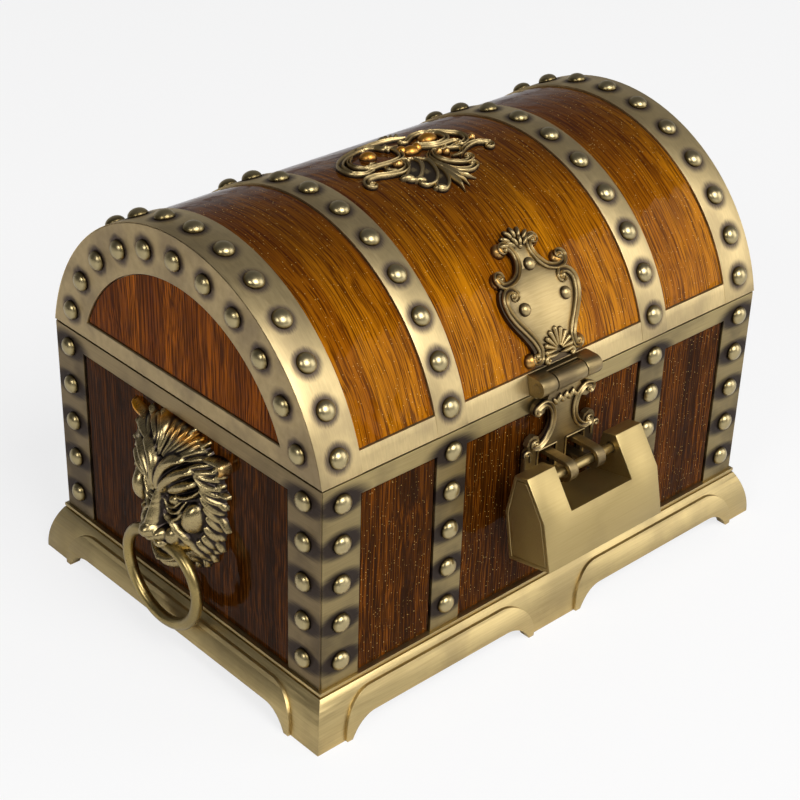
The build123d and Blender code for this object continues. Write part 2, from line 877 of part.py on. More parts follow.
def ring_handle():
    """The ring: a straight bar in the mouth, two corners and a half circle below."""
    centre = -(ring_drop - ring_half_width)
    span = ring_half_width - ring_bar_half
    rise = -centre
    corner = (ring_half_width**2 - ring_bar_half**2 - rise**2) / (2 * (ring_half_width - rise))
    bend = math.hypot(ring_bar_half, -corner - centre)
    out = (ring_half_width * ring_bar_half / bend, centre + ring_half_width * (-corner - centre) / bend)
    right = TangentArc((ring_bar_half, 0), out, tangent=(1, 0))
    bottom = ThreePointArc(out, (0, centre - ring_half_width), (-out[0], out[1]))
    left = TangentArc((-ring_bar_half, 0), (-out[0], out[1]), tangent=(-1, 0))
    curve = Wire([right, bottom, left])
    points = [curve @ (n / ring_steps) for n in range(ring_steps + 1)]
    section = Plane(origin=(0, 0, 0), z_dir=(1, 0, 0)) * RegularPolygon(ring_wire_radius, ring_sides)
    ring = sweep(section, path=Polyline((0, 0), *points, (0, 0)), transition=Transition.RIGHT)
    return Pos(0, 0, ring_stand_off) * ring


def on_left_end(shape):
    """A mask or ring put on the left end of the body."""
    back = -half_width + inlay_set_back
    place = Plane(origin=(back, 0, ring_bar_height), x_dir=(0, -1, 0), z_dir=(-1, 0, 0))
    return place.location * shape


# Cartouche and ornament, drawn flat and then laid on the barrel


def on_barrel(outline, angle, thickness):
    """A flat outline run square to the barrel at one angle from the top, cut to a curved plate."""
    turn = math.radians(angle)
    outward = (0, -math.sin(turn), math.cos(turn))
    centre = (0, inlay_radius * outward[1], arch_height + inlay_radius * outward[2])
    sketch_plane = Plane(origin=centre, x_dir=(1, 0, 0), z_dir=outward)
    block = extrude(sketch_plane * outline, arch_radius / 2, both=True)
    full = Pos(0, 0, arch_height) * Rot(Y=90)
    outside = full * Cylinder(inlay_radius + thickness, body_width)
    sleeve = outside - full * Cylinder(inlay_radius, body_width)
    return block & sleeve


def cartouche_outline():
    """The cartouche: a crest, two pairs of scrolls, a shield and a foot that widens again."""
    sides = []
    for side in (1, -1):
        crest_side = (side * plate_crest_half / 2, plate_crest_rise - plate_volute_radius / 3)
        crest = (side * plate_crest_half, plate_crest_rise - plate_volute_radius)
        arm = (side * plate_arm_volute_x, plate_arm_volute_rise)
        hollow_rise = (plate_crest_rise + plate_arm_volute_rise) / 2 - plate_volute_radius
        hollow = (side * plate_crest_half, hollow_rise)
        waist = (side * plate_waist_half, -plate_waist_drop)
        belly = (side * plate_belly_half, plate_belly_rise)
        belly_end = (side * plate_belly_half * plate_belly_share, -plate_belly_rise)
        foot = (side * plate_foot_volute_x, -plate_foot_drop)
        sides.append(
            [
                ThreePointArc((0, plate_crest_rise), crest_side, crest),
                ThreePointArc(crest, hollow, arm),
                ThreePointArc(arm, belly, belly_end),
                Line(belly_end, waist),
                Line(waist, foot),
                Line(foot, (0, -plate_foot_drop)),
            ]
        )
    outline = make_face(sides[0] + sides[1])
    volutes = [
        (plate_top_volute_x, plate_top_volute_rise),
        (plate_arm_volute_x, plate_arm_volute_rise),
        (plate_foot_volute_x - plate_volute_radius / 3, -plate_foot_drop + plate_volute_radius),
    ]
    for x, y in volutes:
        outline += Pos(x, y) * eye(plate_volute_radius) + Pos(-x, y) * eye(plate_volute_radius)
    return outline


def cartouche():
    """The curved cartouche on the front of the lid."""
    return on_barrel(cartouche_outline(), plate_angle, plate_thickness)


def cartouche_studs():
    """The three round studs of the cartouche."""
    places = [(0, stud_rise), (-stud_side_x, -stud_side_drop), (stud_side_x, -stud_side_drop)]
    surface = inlay_radius + plate_thickness
    studs = []
    for x, rise in places:
        turn = math.radians(plate_angle) - rise / surface
        outward = (0, -math.sin(turn), math.cos(turn))
        centre = (x, surface * outward[1], arch_height + surface * outward[2])
        studs.append(seat(*centre, outward) * dome(stud_radius, stud_height))
    return studs


def c_scroll(x, y, radius, start, sweep_angle):
    """A curved band that ends in a round eye at each end."""
    inner = radius - ornament_band / 2
    outer = radius + ornament_band / 2
    begin = CenterArc((0, 0), inner, start, sweep_angle)
    back = CenterArc((0, 0), outer, start, sweep_angle)
    band = make_face([begin, back, Line(begin @ 0, back @ 0), Line(begin @ 1, back @ 1)])
    for turn in (start, start + sweep_angle):
        angle = math.radians(turn)
        band += Pos(inner * math.cos(angle), inner * math.sin(angle)) * eye(ornament_band)
    return Pos(x, y) * band


def lobe(angle, length, half):
    """A pointed lobe that starts at the middle, widest at two thirds of its length."""
    widest_share = 0.68
    widest = length * widest_share
    return Rot(Z=angle) * make_face(Polyline((0, 0), (widest, half), (length, 0), (widest, -half), close=True))


def ornament_half():
    """The scroll, the shell lobes and the leaf of one half of the ornament."""
    lobe_angles = (-118, -98, -78)
    leaf_angle = -50
    leaf_share = 0.6
    scroll_start, scroll_sweep = 50, 250
    half = eye(ornament_boss_radius)
    for angle in lobe_angles:
        half += lobe(angle, ornament_half_depth, ornament_lobe_half)
    half += lobe(leaf_angle, ornament_half_depth, ornament_lobe_half * leaf_share)
    radius = (ornament_half_width - ornament_boss_radius) / 2 - ornament_band / 4
    middle = ornament_half_width - radius - ornament_band / 2
    return half + c_scroll(-middle, ornament_band, radius, scroll_start, scroll_sweep)


def ornament_outline():
    """The openwork ornament: two equal halves, one turned half round against the other."""
    return ornament_half() + Rot(Z=180) * ornament_half()


def top_ornament():
    """The ornament on the crown of the lid."""
    return on_barrel(ornament_outline(), 0, ornament_thickness)


# All the pieces by name, each in its own file


def all_parts():
    """Every piece of the chest, by name."""
    parts = {}
    sides = {"front": 0, "back": 180}
    ends = {"left": -90, "right": 90}
    front_x = half_width - front_rivet_inset
    slots = staple_slots()

    for name, angle in sides.items():
        parts[f"base_{name}"] = turned(base_side(body_width, half_depth, front_arches()), angle)
        parts[f"{name}_wall"] = turned(wall(body_width, half_depth, front_fields()), angle)
        for place, field in zip(("left", "centre", "right"), front_fields()):
            parts[f"{name}_panel_{place}"] = turned(flat_inlay(field, half_depth), angle)
        places = (-front_x, -strap_offset, strap_offset, front_x)
        parts[f"{name}_rivets"] = [turned(head, angle) for head in post_rivets(places, half_depth)]

    for name, angle in ends.items():
        end_x = half_depth - end_rivet_inset
        parts[f"base_{name}"] = turned(base_side(body_depth, half_width, end_arches()), angle)
        parts[f"{name}_wall"] = turned(wall(body_depth, half_width, end_fields()), angle)
        parts[f"{name}_panel"] = turned(flat_inlay(end_fields()[0], half_width), angle)
        parts[f"{name}_rivets"] = [turned(head, angle) for head in post_rivets((-end_x, end_x), half_width)]
        flip = 0 if name == "left" else 180
        parts[f"lid_end_{name}"] = turned(lid_end(), flip)
        parts[f"lid_end_rivets_{name}"] = [turned(head, flip) for head in arch_rivets()]
        parts[f"ring_handle_{name}"] = turned(on_left_end(ring_handle()), flip)
        parts[f"staple_{name}"] = staple(-1 if name == "left" else 1)

    for slot in slots:
        parts["front_wall"] -= slot
        parts["front_panel_centre"] -= slot

    left_mask = on_left_end(lion_mask())
    parts["lion_masks"] = [left_mask, turned(left_mask, 180)]
    parts["lid_end_panels"] = [turned(lid_end_inlay(), angle) for angle in (0, 180)]
    hinge_places = (-hinge_offset, hinge_offset)
    parts["hinge_body_leaves"] = [body_leaf(x) for x in hinge_places]
    parts["hinge_lid_leaves"] = [lid_leaf(x) for x in hinge_places]

    parts["bottom_plate"] = bottom_plate()
    parts["chest_lining"] = chest_lining()
    parts["lid_barrel"] = lid_barrel()
    parts["lid_panels"] = [barrel_inlay(field) for field in lid_fields()]
    parts["lid_strap_rivets"] = strap_rivets()
    parts["lid_lining"] = lid_lining()
    parts["cartouche"] = cartouche()
    parts["cartouche_studs"] = cartouche_studs()
    parts["top_ornament"] = top_ornament()
    parts["hasp_bracket"] = hasp_bracket()
    parts["hasp_pin"] = hasp_pin()
    parts["hasp"] = hasp()
    parts["padlock_case"] = hung(padlock_case())
    parts["padlock_bar"] = hung(padlock_bar())
    parts["padlock_springs"] = [hung(leaf) for leaf in padlock_springs()]
    return parts


os.makedirs("parts", exist_ok=True)
for part_name, shape in all_parts().items():
    if isinstance(shape, list):
        shape = Compound(children=[solid for piece in shape for solid in piece.solids()])
    else:
        solids = shape.solids()
        shape = solids[0] if len(solids) == 1 else Compound(children=list(solids))
    export_step(Pos(0, body_set_back, 0) * shape, f"parts/{part_name}.step")
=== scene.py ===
import json
import logging
import math
from dataclasses import dataclass
from enum import Enum
from typing import Callable, Dict, Iterable, List, Optional, Sequence, Tuple, Union

import bmesh
import bpy
import numpy as np
from mathutils import Matrix, Vector

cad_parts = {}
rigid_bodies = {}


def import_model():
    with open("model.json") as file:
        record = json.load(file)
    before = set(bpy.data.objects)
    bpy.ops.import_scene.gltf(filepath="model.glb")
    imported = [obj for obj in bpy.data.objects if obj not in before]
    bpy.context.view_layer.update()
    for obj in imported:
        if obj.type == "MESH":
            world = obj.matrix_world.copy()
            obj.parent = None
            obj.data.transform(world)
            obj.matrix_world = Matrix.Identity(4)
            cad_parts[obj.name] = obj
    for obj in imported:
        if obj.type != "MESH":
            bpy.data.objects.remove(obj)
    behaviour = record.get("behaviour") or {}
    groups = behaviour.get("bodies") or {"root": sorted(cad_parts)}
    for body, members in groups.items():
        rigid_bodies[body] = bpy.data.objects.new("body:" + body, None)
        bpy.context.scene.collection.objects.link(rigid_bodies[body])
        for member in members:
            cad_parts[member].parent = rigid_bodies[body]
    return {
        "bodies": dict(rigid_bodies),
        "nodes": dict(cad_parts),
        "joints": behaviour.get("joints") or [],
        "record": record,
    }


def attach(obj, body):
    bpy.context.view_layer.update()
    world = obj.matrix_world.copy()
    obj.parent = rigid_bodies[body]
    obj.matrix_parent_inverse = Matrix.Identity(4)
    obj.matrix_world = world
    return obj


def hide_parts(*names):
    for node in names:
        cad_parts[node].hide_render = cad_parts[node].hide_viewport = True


MM = 0.001
Point = Tuple[float, float]
Triple = Tuple[float, float, float]
Place = Callable[[float, float, float], Vector]
# the radius of a volute in millimetres, its turns and its side
Curl = Tuple[float, float, int]
# a height in millimetres, one for all or one for each place of a field
Ground = Union[float, np.ndarray]
Input = Union[float, str, Triple, bpy.types.Node, bpy.types.NodeSocket, bpy.types.Material]
log = logging.getLogger("chest")


# Sizes that several sub-assemblies share, in millimetres, measured from the middle of the body


@dataclass(frozen=True)
class Chest:
    """The sizes of the box that its fittings are placed on."""

    width: float = 175.0
    depth: float = 120.8
    set_back: float = 8.4
    seam: float = 81.1
    barrel_radius: float = 61.573
    barrel_centre: float = 69.14
    enamel_drop: float = 0.6
    strap_x: float = 41.2
    front_rivet_x: float = 80.7
    end_rivet_y: float = 53.3
    rivet_top: float = 75.0
    rivet_pitch: float = 12.75
    strap_rivet_turn: float = 12.05
    arch_rivet_turn: float = 13.9
    arch_rivet_radius: float = 54.2
    rivet_radius: float = 3.0
    rivet_rise: float = 2.2

    def point(self, x: float, y: float, z: float) -> Vector:
        """A point of the body in metres, in the shared frame."""
        return Vector((x * MM, (y + self.set_back) * MM, z * MM))


CHEST = Chest()


class Side(Enum):
    """Which end of the box a piece belongs to."""

    LEFT = -1
    RIGHT = 1


def on_barrel(turn: float) -> Place:
    """A flat drawing laid on the barrel.

    Args:
        turn: degrees from the crown towards the front of the drawing's origin.

    Returns:
        A function that takes across, up and out to a point in metres.
    """
    radius = CHEST.barrel_radius - CHEST.enamel_drop

    def place(across: float, up: float, out: float) -> Vector:
        """The point at across and up on the enamel, and out from it."""
        angle = math.radians(turn) - up / radius
        far = radius + out
        return CHEST.point(across, -far * math.sin(angle), CHEST.barrel_centre + far * math.cos(angle))

    return place


def on_front(y: float, z: float) -> Place:
    """A flat drawing held upright before the front, at a depth y and a height z."""
    return lambda across, up, out: CHEST.point(across, y - out, z + up)


def on_end(side: Side, z: float) -> Place:
    """A flat drawing on the enamel of one end, seen from outside."""
    face = CHEST.width / 2 - CHEST.enamel_drop
    sign = side.value
    return lambda across, up, out: CHEST.point(sign * (face + out), sign * across, z + up)


# Colours and shader nodes


MATH, RANGE, MIX = "ShaderNodeMath", "ShaderNodeMapRange", "ShaderNodeMix"
COORDINATES, NOISE = "ShaderNodeTexCoord", "ShaderNodeTexNoise"
SPLIT, JOIN = "ShaderNodeSeparateXYZ", "ShaderNodeCombineXYZ"
SMOOTH = {"interpolation_type": "SMOOTHSTEP"}
COLOURS = {"data_type": "RGBA"}
FALLING = (1.0, 0.0)


def linear(code: str) -> Tuple[float, float, float, float]:
    """An sRGB hex colour as linear red, green, blue and one."""
    parts = [int(code[i:i + 2], 16) / 255 for i in (0, 2, 4)]
    red, green, blue = (p / 12.92 if p <= 0.04045 else ((p + 0.055) / 1.055) ** 2.4 for p in parts)
    return red, green, blue, 1.0


class Graph:
    """A node tree that is filled one node at a time."""

    def __init__(self, tree: bpy.types.NodeTree) -> None:
        """Starts with the tree emptied."""
        self.tree = tree
        tree.nodes.clear()

    def add(self, kind: str, settings: Union[str, Dict, None] = None, *inputs: Input,
            **sockets: Input) -> bpy.types.Node:
        """Adds one node with its settings and links.

        Args:
            kind: the node's type.
            settings: its operation, or its properties by name; stops are a ramp's places and colours.
            *inputs: what goes into its inputs in use, in their order.
            **sockets: what goes into an input by the socket's name, with _ for a space.

        Returns:
            The node. Given as an input of another node, it stands for its first output in use.
        """
        node = self.tree.nodes.new(kind)
        if isinstance(settings, str):
            settings = {"operation": settings}
        for name, value in (settings or {}).items():
            if name == "stops":
                elements = node.color_ramp.elements
                while len(elements) < len(value):
                    elements.new(0.5)
                for element, (at, code) in zip(elements, value):
                    element.position, element.color = at, linear(code)
            else:
                setattr(node, name, value)
        given = list(zip((socket for socket in node.inputs if socket.enabled), inputs))
        given += [(node.inputs[name.replace("_", " ")], value) for name, value in sockets.items()]
        for socket, value in given:
            if isinstance(value, bpy.types.Node):
                value = next(output for output in value.outputs if output.enabled)
            if isinstance(value, bpy.types.NodeSocket):
                self.tree.links.new(value, socket)
            else:
                socket.default_value = linear(value) if socket.type == "RGBA" else value
        return node


def new_material(name: str) -> Tuple[bpy.types.Material, Graph]:
    """An empty node material and its graph."""
    material = bpy.data.materials.new(name)
    material.use_nodes = True
    return material, Graph(material.node_tree)


class Layout(Enum):
    """How the rivets stand on a face, which sets where patina and painted shade gather round them."""

    NONE = "none"
    FRONT = "front"
    END = "end"
    BARREL = "barrel"
    ARCH = "arch"

    @property
    def upright(self) -> bool:
        """Whether the rivets stand in rows on the posts of a wall."""
        return self in (Layout.FRONT, Layout.END)


def body_axes(graph: Graph) -> Sequence[bpy.types.NodeSocket]:
    """The object's coordinates in millimetres from the middle of the body."""
    coord = graph.add(COORDINATES).outputs["Object"]
    scaled = graph.add("ShaderNodeVectorMath", "MULTIPLY_ADD", coord, (1 / MM,) * 3,
                       (0.0, -CHEST.set_back, 0.0))
    return graph.add(SPLIT, None, scaled).outputs


def diagonal(graph: Graph, a: Input, b: Input) -> bpy.types.Node:
    """The length of the diagonal over two sides that stand square to each other."""
    square = graph.add(MATH, "MULTIPLY", b, b)
    return graph.add(MATH, "POWER", graph.add(MATH, "MULTIPLY_ADD", a, a, square), 0.5)


def rivet_distance(graph: Graph, layout: Layout) -> bpy.types.Node:
    """How far a point is from the axis of the nearest rivet.

    Args:
        graph: the material's graph.
        layout: how the rivets stand on the face.

    Returns:
        The distance in millimetres, halved sideways on the posts, where the dark rings run to the edges.
    """
    add = graph.add
    x, y, z = body_axes(graph)
    if layout.upright:
        foot = CHEST.rivet_top - 10 * CHEST.rivet_pitch
        along = add(MATH, "PINGPONG", add(MATH, "SUBTRACT", z, foot), CHEST.rivet_pitch / 2)
    else:
        barrel = layout is Layout.BARREL
        turn = math.radians(CHEST.strap_rivet_turn if barrel else CHEST.arch_rivet_turn)
        reach = CHEST.barrel_radius if barrel else CHEST.arch_rivet_radius
        rise = add(MATH, "SUBTRACT", z, CHEST.barrel_centre)
        angle = add(MATH, "ADD", add(MATH, "ARCTAN2", y, rise), 20 * turn)
        along = add(MATH, "MULTIPLY", add(MATH, "PINGPONG", angle, turn / 2), reach)
    if layout is Layout.ARCH:
        away = add(MATH, "SUBTRACT", diagonal(graph, y, rise), reach)
    elif layout is Layout.END:
        row = add(MATH, "SUBTRACT", add(MATH, "ABSOLUTE", y), CHEST.end_rivet_y)
        away = add(MATH, "MULTIPLY", row, 0.5)
    else:
        across = add(MATH, "ABSOLUTE", x)
        beside = (add(MATH, "SUBTRACT", across, row) for row in (CHEST.front_rivet_x, CHEST.strap_x))
        nearest = add(MATH, "MINIMUM", *(add(MATH, "ABSOLUTE", gap) for gap in beside))
        away = add(MATH, "MULTIPLY", nearest, 0.5 if layout.upright else 1.0)
    return diagonal(graph, along, away)


@dataclass(frozen=True)
class AntiqueBrass:
    """Cast brass darkened in a bath and rubbed bright: olive gold, with brown-black left in the lows.

    The brushing leaves fine streaks along one axis, which the eye reads as satin, and a soft dark ring
    of patina and painted shade lies round every rivet.
    """

    name: str
    bright: str = "D3BD88"
    middle: str = "AC9664"
    dark: str = "3B302D"
    roughness: float = 0.34
    streaks: Triple = (0.02, 1.0, 1.0)
    layout: Layout = Layout.NONE
    patina: float = 0.35
    posts: float = 0.0
    relief: bool = False
    caught: str = "F0A018"

    def stained(self, graph: Graph, brush: bpy.types.Node, cloud: bpy.types.Node) -> bpy.types.Node:
        """How far the patina covers the metal.

        Args:
            graph: the material's graph.
            brush: its brush lines.
            cloud: its clouds.

        Returns:
            The cover, from 0 for bright metal to 1 for dark.
        """
        add = graph.add
        cover = add(MATH, "MULTIPLY", add(RANGE, SMOOTH, cloud, 0.42, 0.68), self.patina)
        if self.posts:
            # the posts are darker than the rail on top of them
            low = add(RANGE, SMOOTH, body_axes(graph)[2], CHEST.seam - 7.5, CHEST.seam - 4.5, *FALLING)
            cover = add(MATH, "MULTIPLY_ADD", low, self.posts, cover)
        if self.layout is not Layout.NONE:
            # a ring of patina and painted shade round each rivet: full to one distance, gone at the next, and
            # its depth
            full, gone, depth = (2.0, 5.4, 0.96) if self.layout.upright else (2.3, 4.9, 0.88)
            streaky = add(MATH, "MULTIPLY_ADD", brush, -1.6, rivet_distance(graph, self.layout))
            ring = add(RANGE, SMOOTH, streaky, full, gone, *FALLING)
            cover = add(MATH, "MAXIMUM", cover, add(MATH, "MULTIPLY", ring, depth))
        if self.relief:
            # the rise is low in the grooves, where patina lies, and on the lion masks as painted shade on the
            # mane's lower sides
            rise = add("ShaderNodeAttribute", {"attribute_name": "rise"}).outputs["Fac"]
            lows = add(MATH, "MULTIPLY", add(RANGE, SMOOTH, rise, 0.22, 0.78, *FALLING), 0.96)
            cover = add(MATH, "MAXIMUM", add(MATH, "MULTIPLY", cover, 0.6), lows)
        return cover

    def build(self) -> bpy.types.Material:
        """The material with its streaks, patina and wear."""
        material, graph = new_material(self.name)
        add = graph.add
        coord = add(COORDINATES).outputs["Object"]
        # brush lines 0.4 mm apart, coarser than the real ones so that they show
        along = add("ShaderNodeMapping", Vector=coord, Scale=self.streaks)
        brush = add(NOISE, Vector=along, Scale=2500.0, Detail=3.0)
        # clouds of patina 18 mm across
        cloud = add(NOISE, Vector=coord, Scale=55.0, Detail=4.0)
        cover = self.stained(graph, brush, cloud)
        colour = add(MIX, COLOURS, cover, add(MIX, COLOURS, brush, self.middle, self.bright), self.dark)
        if self.relief:
            # enamel that ran onto the tips of the mane and the eyes of the scrolls
            tint = add("ShaderNodeAttribute", {"attribute_name": "tint"}).outputs["Fac"]
            colour = add(MIX, COLOURS, add(MATH, "MULTIPLY", tint, 0.9), colour, self.caught)
        # the streaks are rougher than the metal between them, and patina is rougher than both
        streaky = add(MATH, "MULTIPLY_ADD", brush, 0.16, self.roughness - 0.08)
        rough = add(MATH, "MULTIPLY_ADD", cover, 0.04 if self.relief else 0.2, streaky)
        bump = add("ShaderNodeBump", Strength=0.12, Distance=0.05 * MM, Height=brush)
        shader = add("ShaderNodeBsdfPrincipled", Base_Color=colour, Metallic=1.0, Roughness=rough,
                     Normal=bump)
        add("ShaderNodeOutputMaterial", Surface=shader)
        return material


@dataclass(frozen=True)
class PolishedBrass:
    """Brass buffed to a soft mirror on its crown, with patina left in the ring at its foot."""

    name: str
    bright: str = "B4A47A"
    middle: str = "84744C"
    dark: str = "2E2622"
    roughness: float = 0.3

    def build(self) -> bpy.types.Material:
        """The material, which reads how high a point stands from the piece's rise attribute."""
        material, graph = new_material(self.name)
        add = graph.add
        rise = add("ShaderNodeAttribute", {"attribute_name": "rise"}).outputs["Fac"]
        coord = add(COORDINATES).outputs["Object"]
        # handling marks about 3 mm across
        marks = add(NOISE, Vector=coord, Scale=330.0, Detail=3.0)
        worn = add(MATH, "MULTIPLY_ADD", marks, 0.25, rise)
        stops = ((0.1, self.dark), (0.46, self.middle), (0.75, self.bright))
        colour = add("ShaderNodeValToRGB", {"stops": stops}, worn)
        rough = add(MATH, "MULTIPLY_ADD", marks, 0.16, self.roughness - 0.06)
        shader = add("ShaderNodeBsdfPrincipled", Base_Color=colour, Metallic=1.0, Roughness=rough)
        add("ShaderNodeOutputMaterial", Surface=shader)
        return material


@dataclass(frozen=True)
class WoodEnamel:
    """Translucent brown enamel over a stamped wood grain with gold flake: it glows amber where it is thin.

    The glass layer gives a sharp wet reflection that wavers, since the fired coat lies in low swells.
    """

    name: str
    light: str
    middle: str
    deep: str
    grain: Triple
    round_barrel: bool = False
    gleam: str = "ECBF84"
    flake: str = "E8C070"
    # the painted shade colour that the enamel turns to on the crown of the barrel
    crown: str = "2A1006"
    gloss: float = 0.1
    cover: float = 0.62

    def build(self) -> bpy.types.Material:
        """The material with grain, flake and a glass coat."""
        material, graph = new_material(self.name)
        add = graph.add
        coord = add(COORDINATES).outputs["Object"]
        base = coord
        if self.round_barrel:
            x, y, z = body_axes(graph)
            angle = add(MATH, "ARCTAN2", y, add(MATH, "SUBTRACT", z, CHEST.barrel_centre))
            length = add(MATH, "MULTIPLY", angle, CHEST.barrel_radius * MM)
            base = add(JOIN, None, add(MATH, "MULTIPLY", x, MM), length)
        # the grain wavers by 2 mm over some 20 mm
        wander = add(NOISE, Vector=base, Scale=45.0, Detail=1.0)
        pushed = add("ShaderNodeVectorMath", "MULTIPLY_ADD", wander, (2 * MM,) * 3, base)
        # grain lines 0.4 mm apart that run some 20 mm
        along = add("ShaderNodeMapping", Vector=pushed, Scale=self.grain)
        lines = add(NOISE, Vector=along, Scale=2300.0, Detail=2.0, Roughness=0.6)
        # shades of the coat 8 mm across, drawn out along the grain
        cloud = add(NOISE, Vector=along, Scale=120.0, Detail=2.0)
        shade = add("ShaderNodeValToRGB", {"stops": ((0.3, self.middle), (0.7, self.light))}, cloud)
        dark = add(MATH, "MULTIPLY", add(RANGE, SMOOTH, lines, self.cover - 0.28, self.cover, *FALLING), 0.88)
        colour = add(MIX, COLOURS, dark, shade, self.deep)
        if self.round_barrel:
            # painted shade: the enamel turns near to black towards the crown of the barrel
            painted_crown_shade = add(RANGE, SMOOTH, add(MATH, "ABSOLUTE", angle), 0.2, 0.95, *FALLING)
            colour = add(MIX, COLOURS, add(MATH, "MULTIPLY", painted_crown_shade, 0.72), colour, self.crown)
        # gold flake 0.2 mm across, one in a cell of 0.8 mm, each with its own brightness
        cell = add("ShaderNodeTexVoronoi", {"feature": "F1"}, Vector=coord, Scale=1250.0)
        lit = add(RANGE, SMOOTH, add(SPLIT, None, cell.outputs["Color"]), 0.4, 1.0)
        speck = add(MATH, "MULTIPLY", add(RANGE, SMOOTH, cell, 0.06, 0.2, *FALLING), lit)
        flaked = add(MIX, COLOURS, speck, colour, self.flake)
        # low swells 5 mm across in the fired coat, and a trace of the grain below
        swell = add(NOISE, Vector=coord, Scale=200.0, Detail=1.0)
        coat = add("ShaderNodeBump", Strength=0.85, Distance=0.25 * MM, Height=swell)
        ground = add("ShaderNodeBump", Strength=0.1, Distance=0.06 * MM, Height=lines, Normal=coat)
        shader = add("ShaderNodeBsdfPrincipled", Base_Color=flaked, Roughness=0.06, Normal=ground,
                     Specular_IOR_Level=self.gloss, Specular_Tint=self.gleam)
        add("ShaderNodeOutputMaterial", Surface=shader)
        return material


@dataclass(frozen=True)
class FlockedVelvet:
    """Short flock blown onto glue: a deep red that turns pale at a glancing angle."""

    name: str = "flocked_velvet_red"
    colour: str = "5A0F14"
    shade: str = "2C0508"
    sheen: str = "D05A60"

    def build(self) -> bpy.types.Material:
        """The material with its pile and sheen."""
        material, graph = new_material(self.name)
        add = graph.add
        coord = add(COORDINATES).outputs["Object"]
        # tufts of pile 0.6 mm across, coarser than the real fibres so that they show
        pile = add(NOISE, Vector=coord, Scale=1600.0, Detail=2.0)
        # crushed patches 14 mm across
        crush = add(NOISE, Vector=coord, Scale=70.0, Detail=3.0)
        tone = add(MATH, "MULTIPLY_ADD", pile, 0.6, add(MATH, "MULTIPLY", crush, 0.4))
        colour = add("ShaderNodeValToRGB", {"stops": ((0.3, self.shade), (0.7, self.colour))}, tone)
        bump = add("ShaderNodeBump", Strength=0.6, Distance=0.3 * MM, Height=pile)
        shader = add("ShaderNodeBsdfPrincipled", Base_Color=colour, Roughness=0.95, Sheen_Weight=0.6,
                     Sheen_Roughness=0.4, Sheen_Tint=self.sheen, Normal=bump)
        add("ShaderNodeOutputMaterial", Surface=shader)
        return material


# Making meshes


# an edge that no turn makes sharp
NEVER = 360.0
# doubles of a CAD mesh lie closer than this, in millimetres
WELD = 0.002
# turns in degrees: up to the first a face counts as flat, past the second as curved, and past the third an
# edge of a cast part stays sharp
FLAT, CURVED, SHARP = 0.5, 1.0, 31.0


def show(name: str, mesh: bpy.types.Mesh, body: str, slot: str, materials: Iterable[bpy.types.Material],
         replaces: Sequence[str] = ()) -> bpy.types.Object:
    """Puts a finished mesh in the scene.

    Args:
        name: the piece's name.
        mesh: its mesh, in metres in the shared frame.
        body: the body that it rides on.
        slot: the record's material slot, which is not used.
        materials: its materials in the order of the mesh's indices.
        replaces: the nodes that it stands for.

    Returns:
        The object.
    """
    piece = bpy.data.objects.new(name, mesh)
    bpy.context.scene.collection.objects.link(piece)
    mesh.materials.clear()
    for material in materials:
        mesh.materials.append(material)
    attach(piece, body)
    if replaces:
        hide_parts(*replaces)
    log.info("%s: %d faces", name, len(mesh.polygons))
    return piece


def smoothed(mesh: bpy.types.Mesh, crease: float = NEVER) -> bpy.types.Mesh:
    """Turns a closed mesh to face outwards, with smooth sides and flat caps.

    Args:
        mesh: the mesh, which is changed and loses its loose points.
        crease: the turn in degrees from which an edge stays sharp.

    Returns:
        The same mesh.
    """
    bm = bmesh.new()
    bm.from_mesh(mesh)
    bmesh.ops.delete(bm, geom=[v for v in bm.verts if not v.link_faces], context="VERTS")
    bmesh.ops.recalc_face_normals(bm, faces=bm.faces)
    for face in bm.faces:
        face.smooth = len(face.verts) <= 4
    for edge in bm.edges:
        edge.smooth = edge.calc_face_angle(0.0) < math.radians(crease)
    bm.to_mesh(mesh)
    bm.free()
    return mesh


def set_values(mesh: bpy.types.Mesh, fields: Dict[str, Sequence[float]]) -> None:
    """Gives a mesh's points the values of attributes by name."""
    for name, values in fields.items():
        mesh.attributes.new(name, "FLOAT", "POINT").data.foreach_set("value", np.array(values, np.float32))


def refined(node: bpy.types.Object, name: str, bevel: float, sharp: float = 28.0) -> bpy.types.Mesh:
    """A smoother copy of a CAD node's mesh, with its sharp outer edges rubbed round.

    Args:
        node: the CAD node.
        name: the new mesh's name.
        bevel: the width of the rubbed edge in millimetres.
        sharp: the turn in degrees from which an edge is rubbed.

    Returns:
        A mesh whose rubbed edges have material index 1.
    """
    bm = bmesh.new()
    bm.from_mesh(node.data)
    bmesh.ops.remove_doubles(bm, verts=bm.verts, dist=WELD * MM)
    bmesh.ops.dissolve_limit(bm, angle_limit=math.radians(FLAT), verts=bm.verts, edges=bm.edges)
    for face in bm.faces:
        face.material_index = 0
    if bevel:
        limit = math.radians(sharp)
        outer = (e for e in bm.edges if len(e.link_faces) == 2 and e.is_convex)
        edges = [e for e in outer if e.calc_face_angle() > limit]
        bmesh.ops.bevel(bm, geom=edges, offset=bevel * MM, offset_type="OFFSET", segments=2, profile=0.5,
                        affect="EDGES", clamp_overlap=True, material=1)
    limit = math.radians(SHARP)
    for edge in bm.edges:
        edge.smooth = len(edge.link_faces) == 2 and edge.calc_face_angle() < limit
    for face in bm.faces:
        face.smooth = face.material_index == 1 or any(
            e.smooth and math.radians(CURVED) < e.calc_face_angle(0.0) < limit
            and all(f.material_index == face.material_index for f in e.link_faces)
            for e in face.edges
        )
    bmesh.ops.triangulate(bm, faces=[f for f in bm.faces if len(f.verts) > 4])
    mesh = bpy.data.meshes.new(name)
    bm.to_mesh(mesh)
    bm.free()
    return mesh


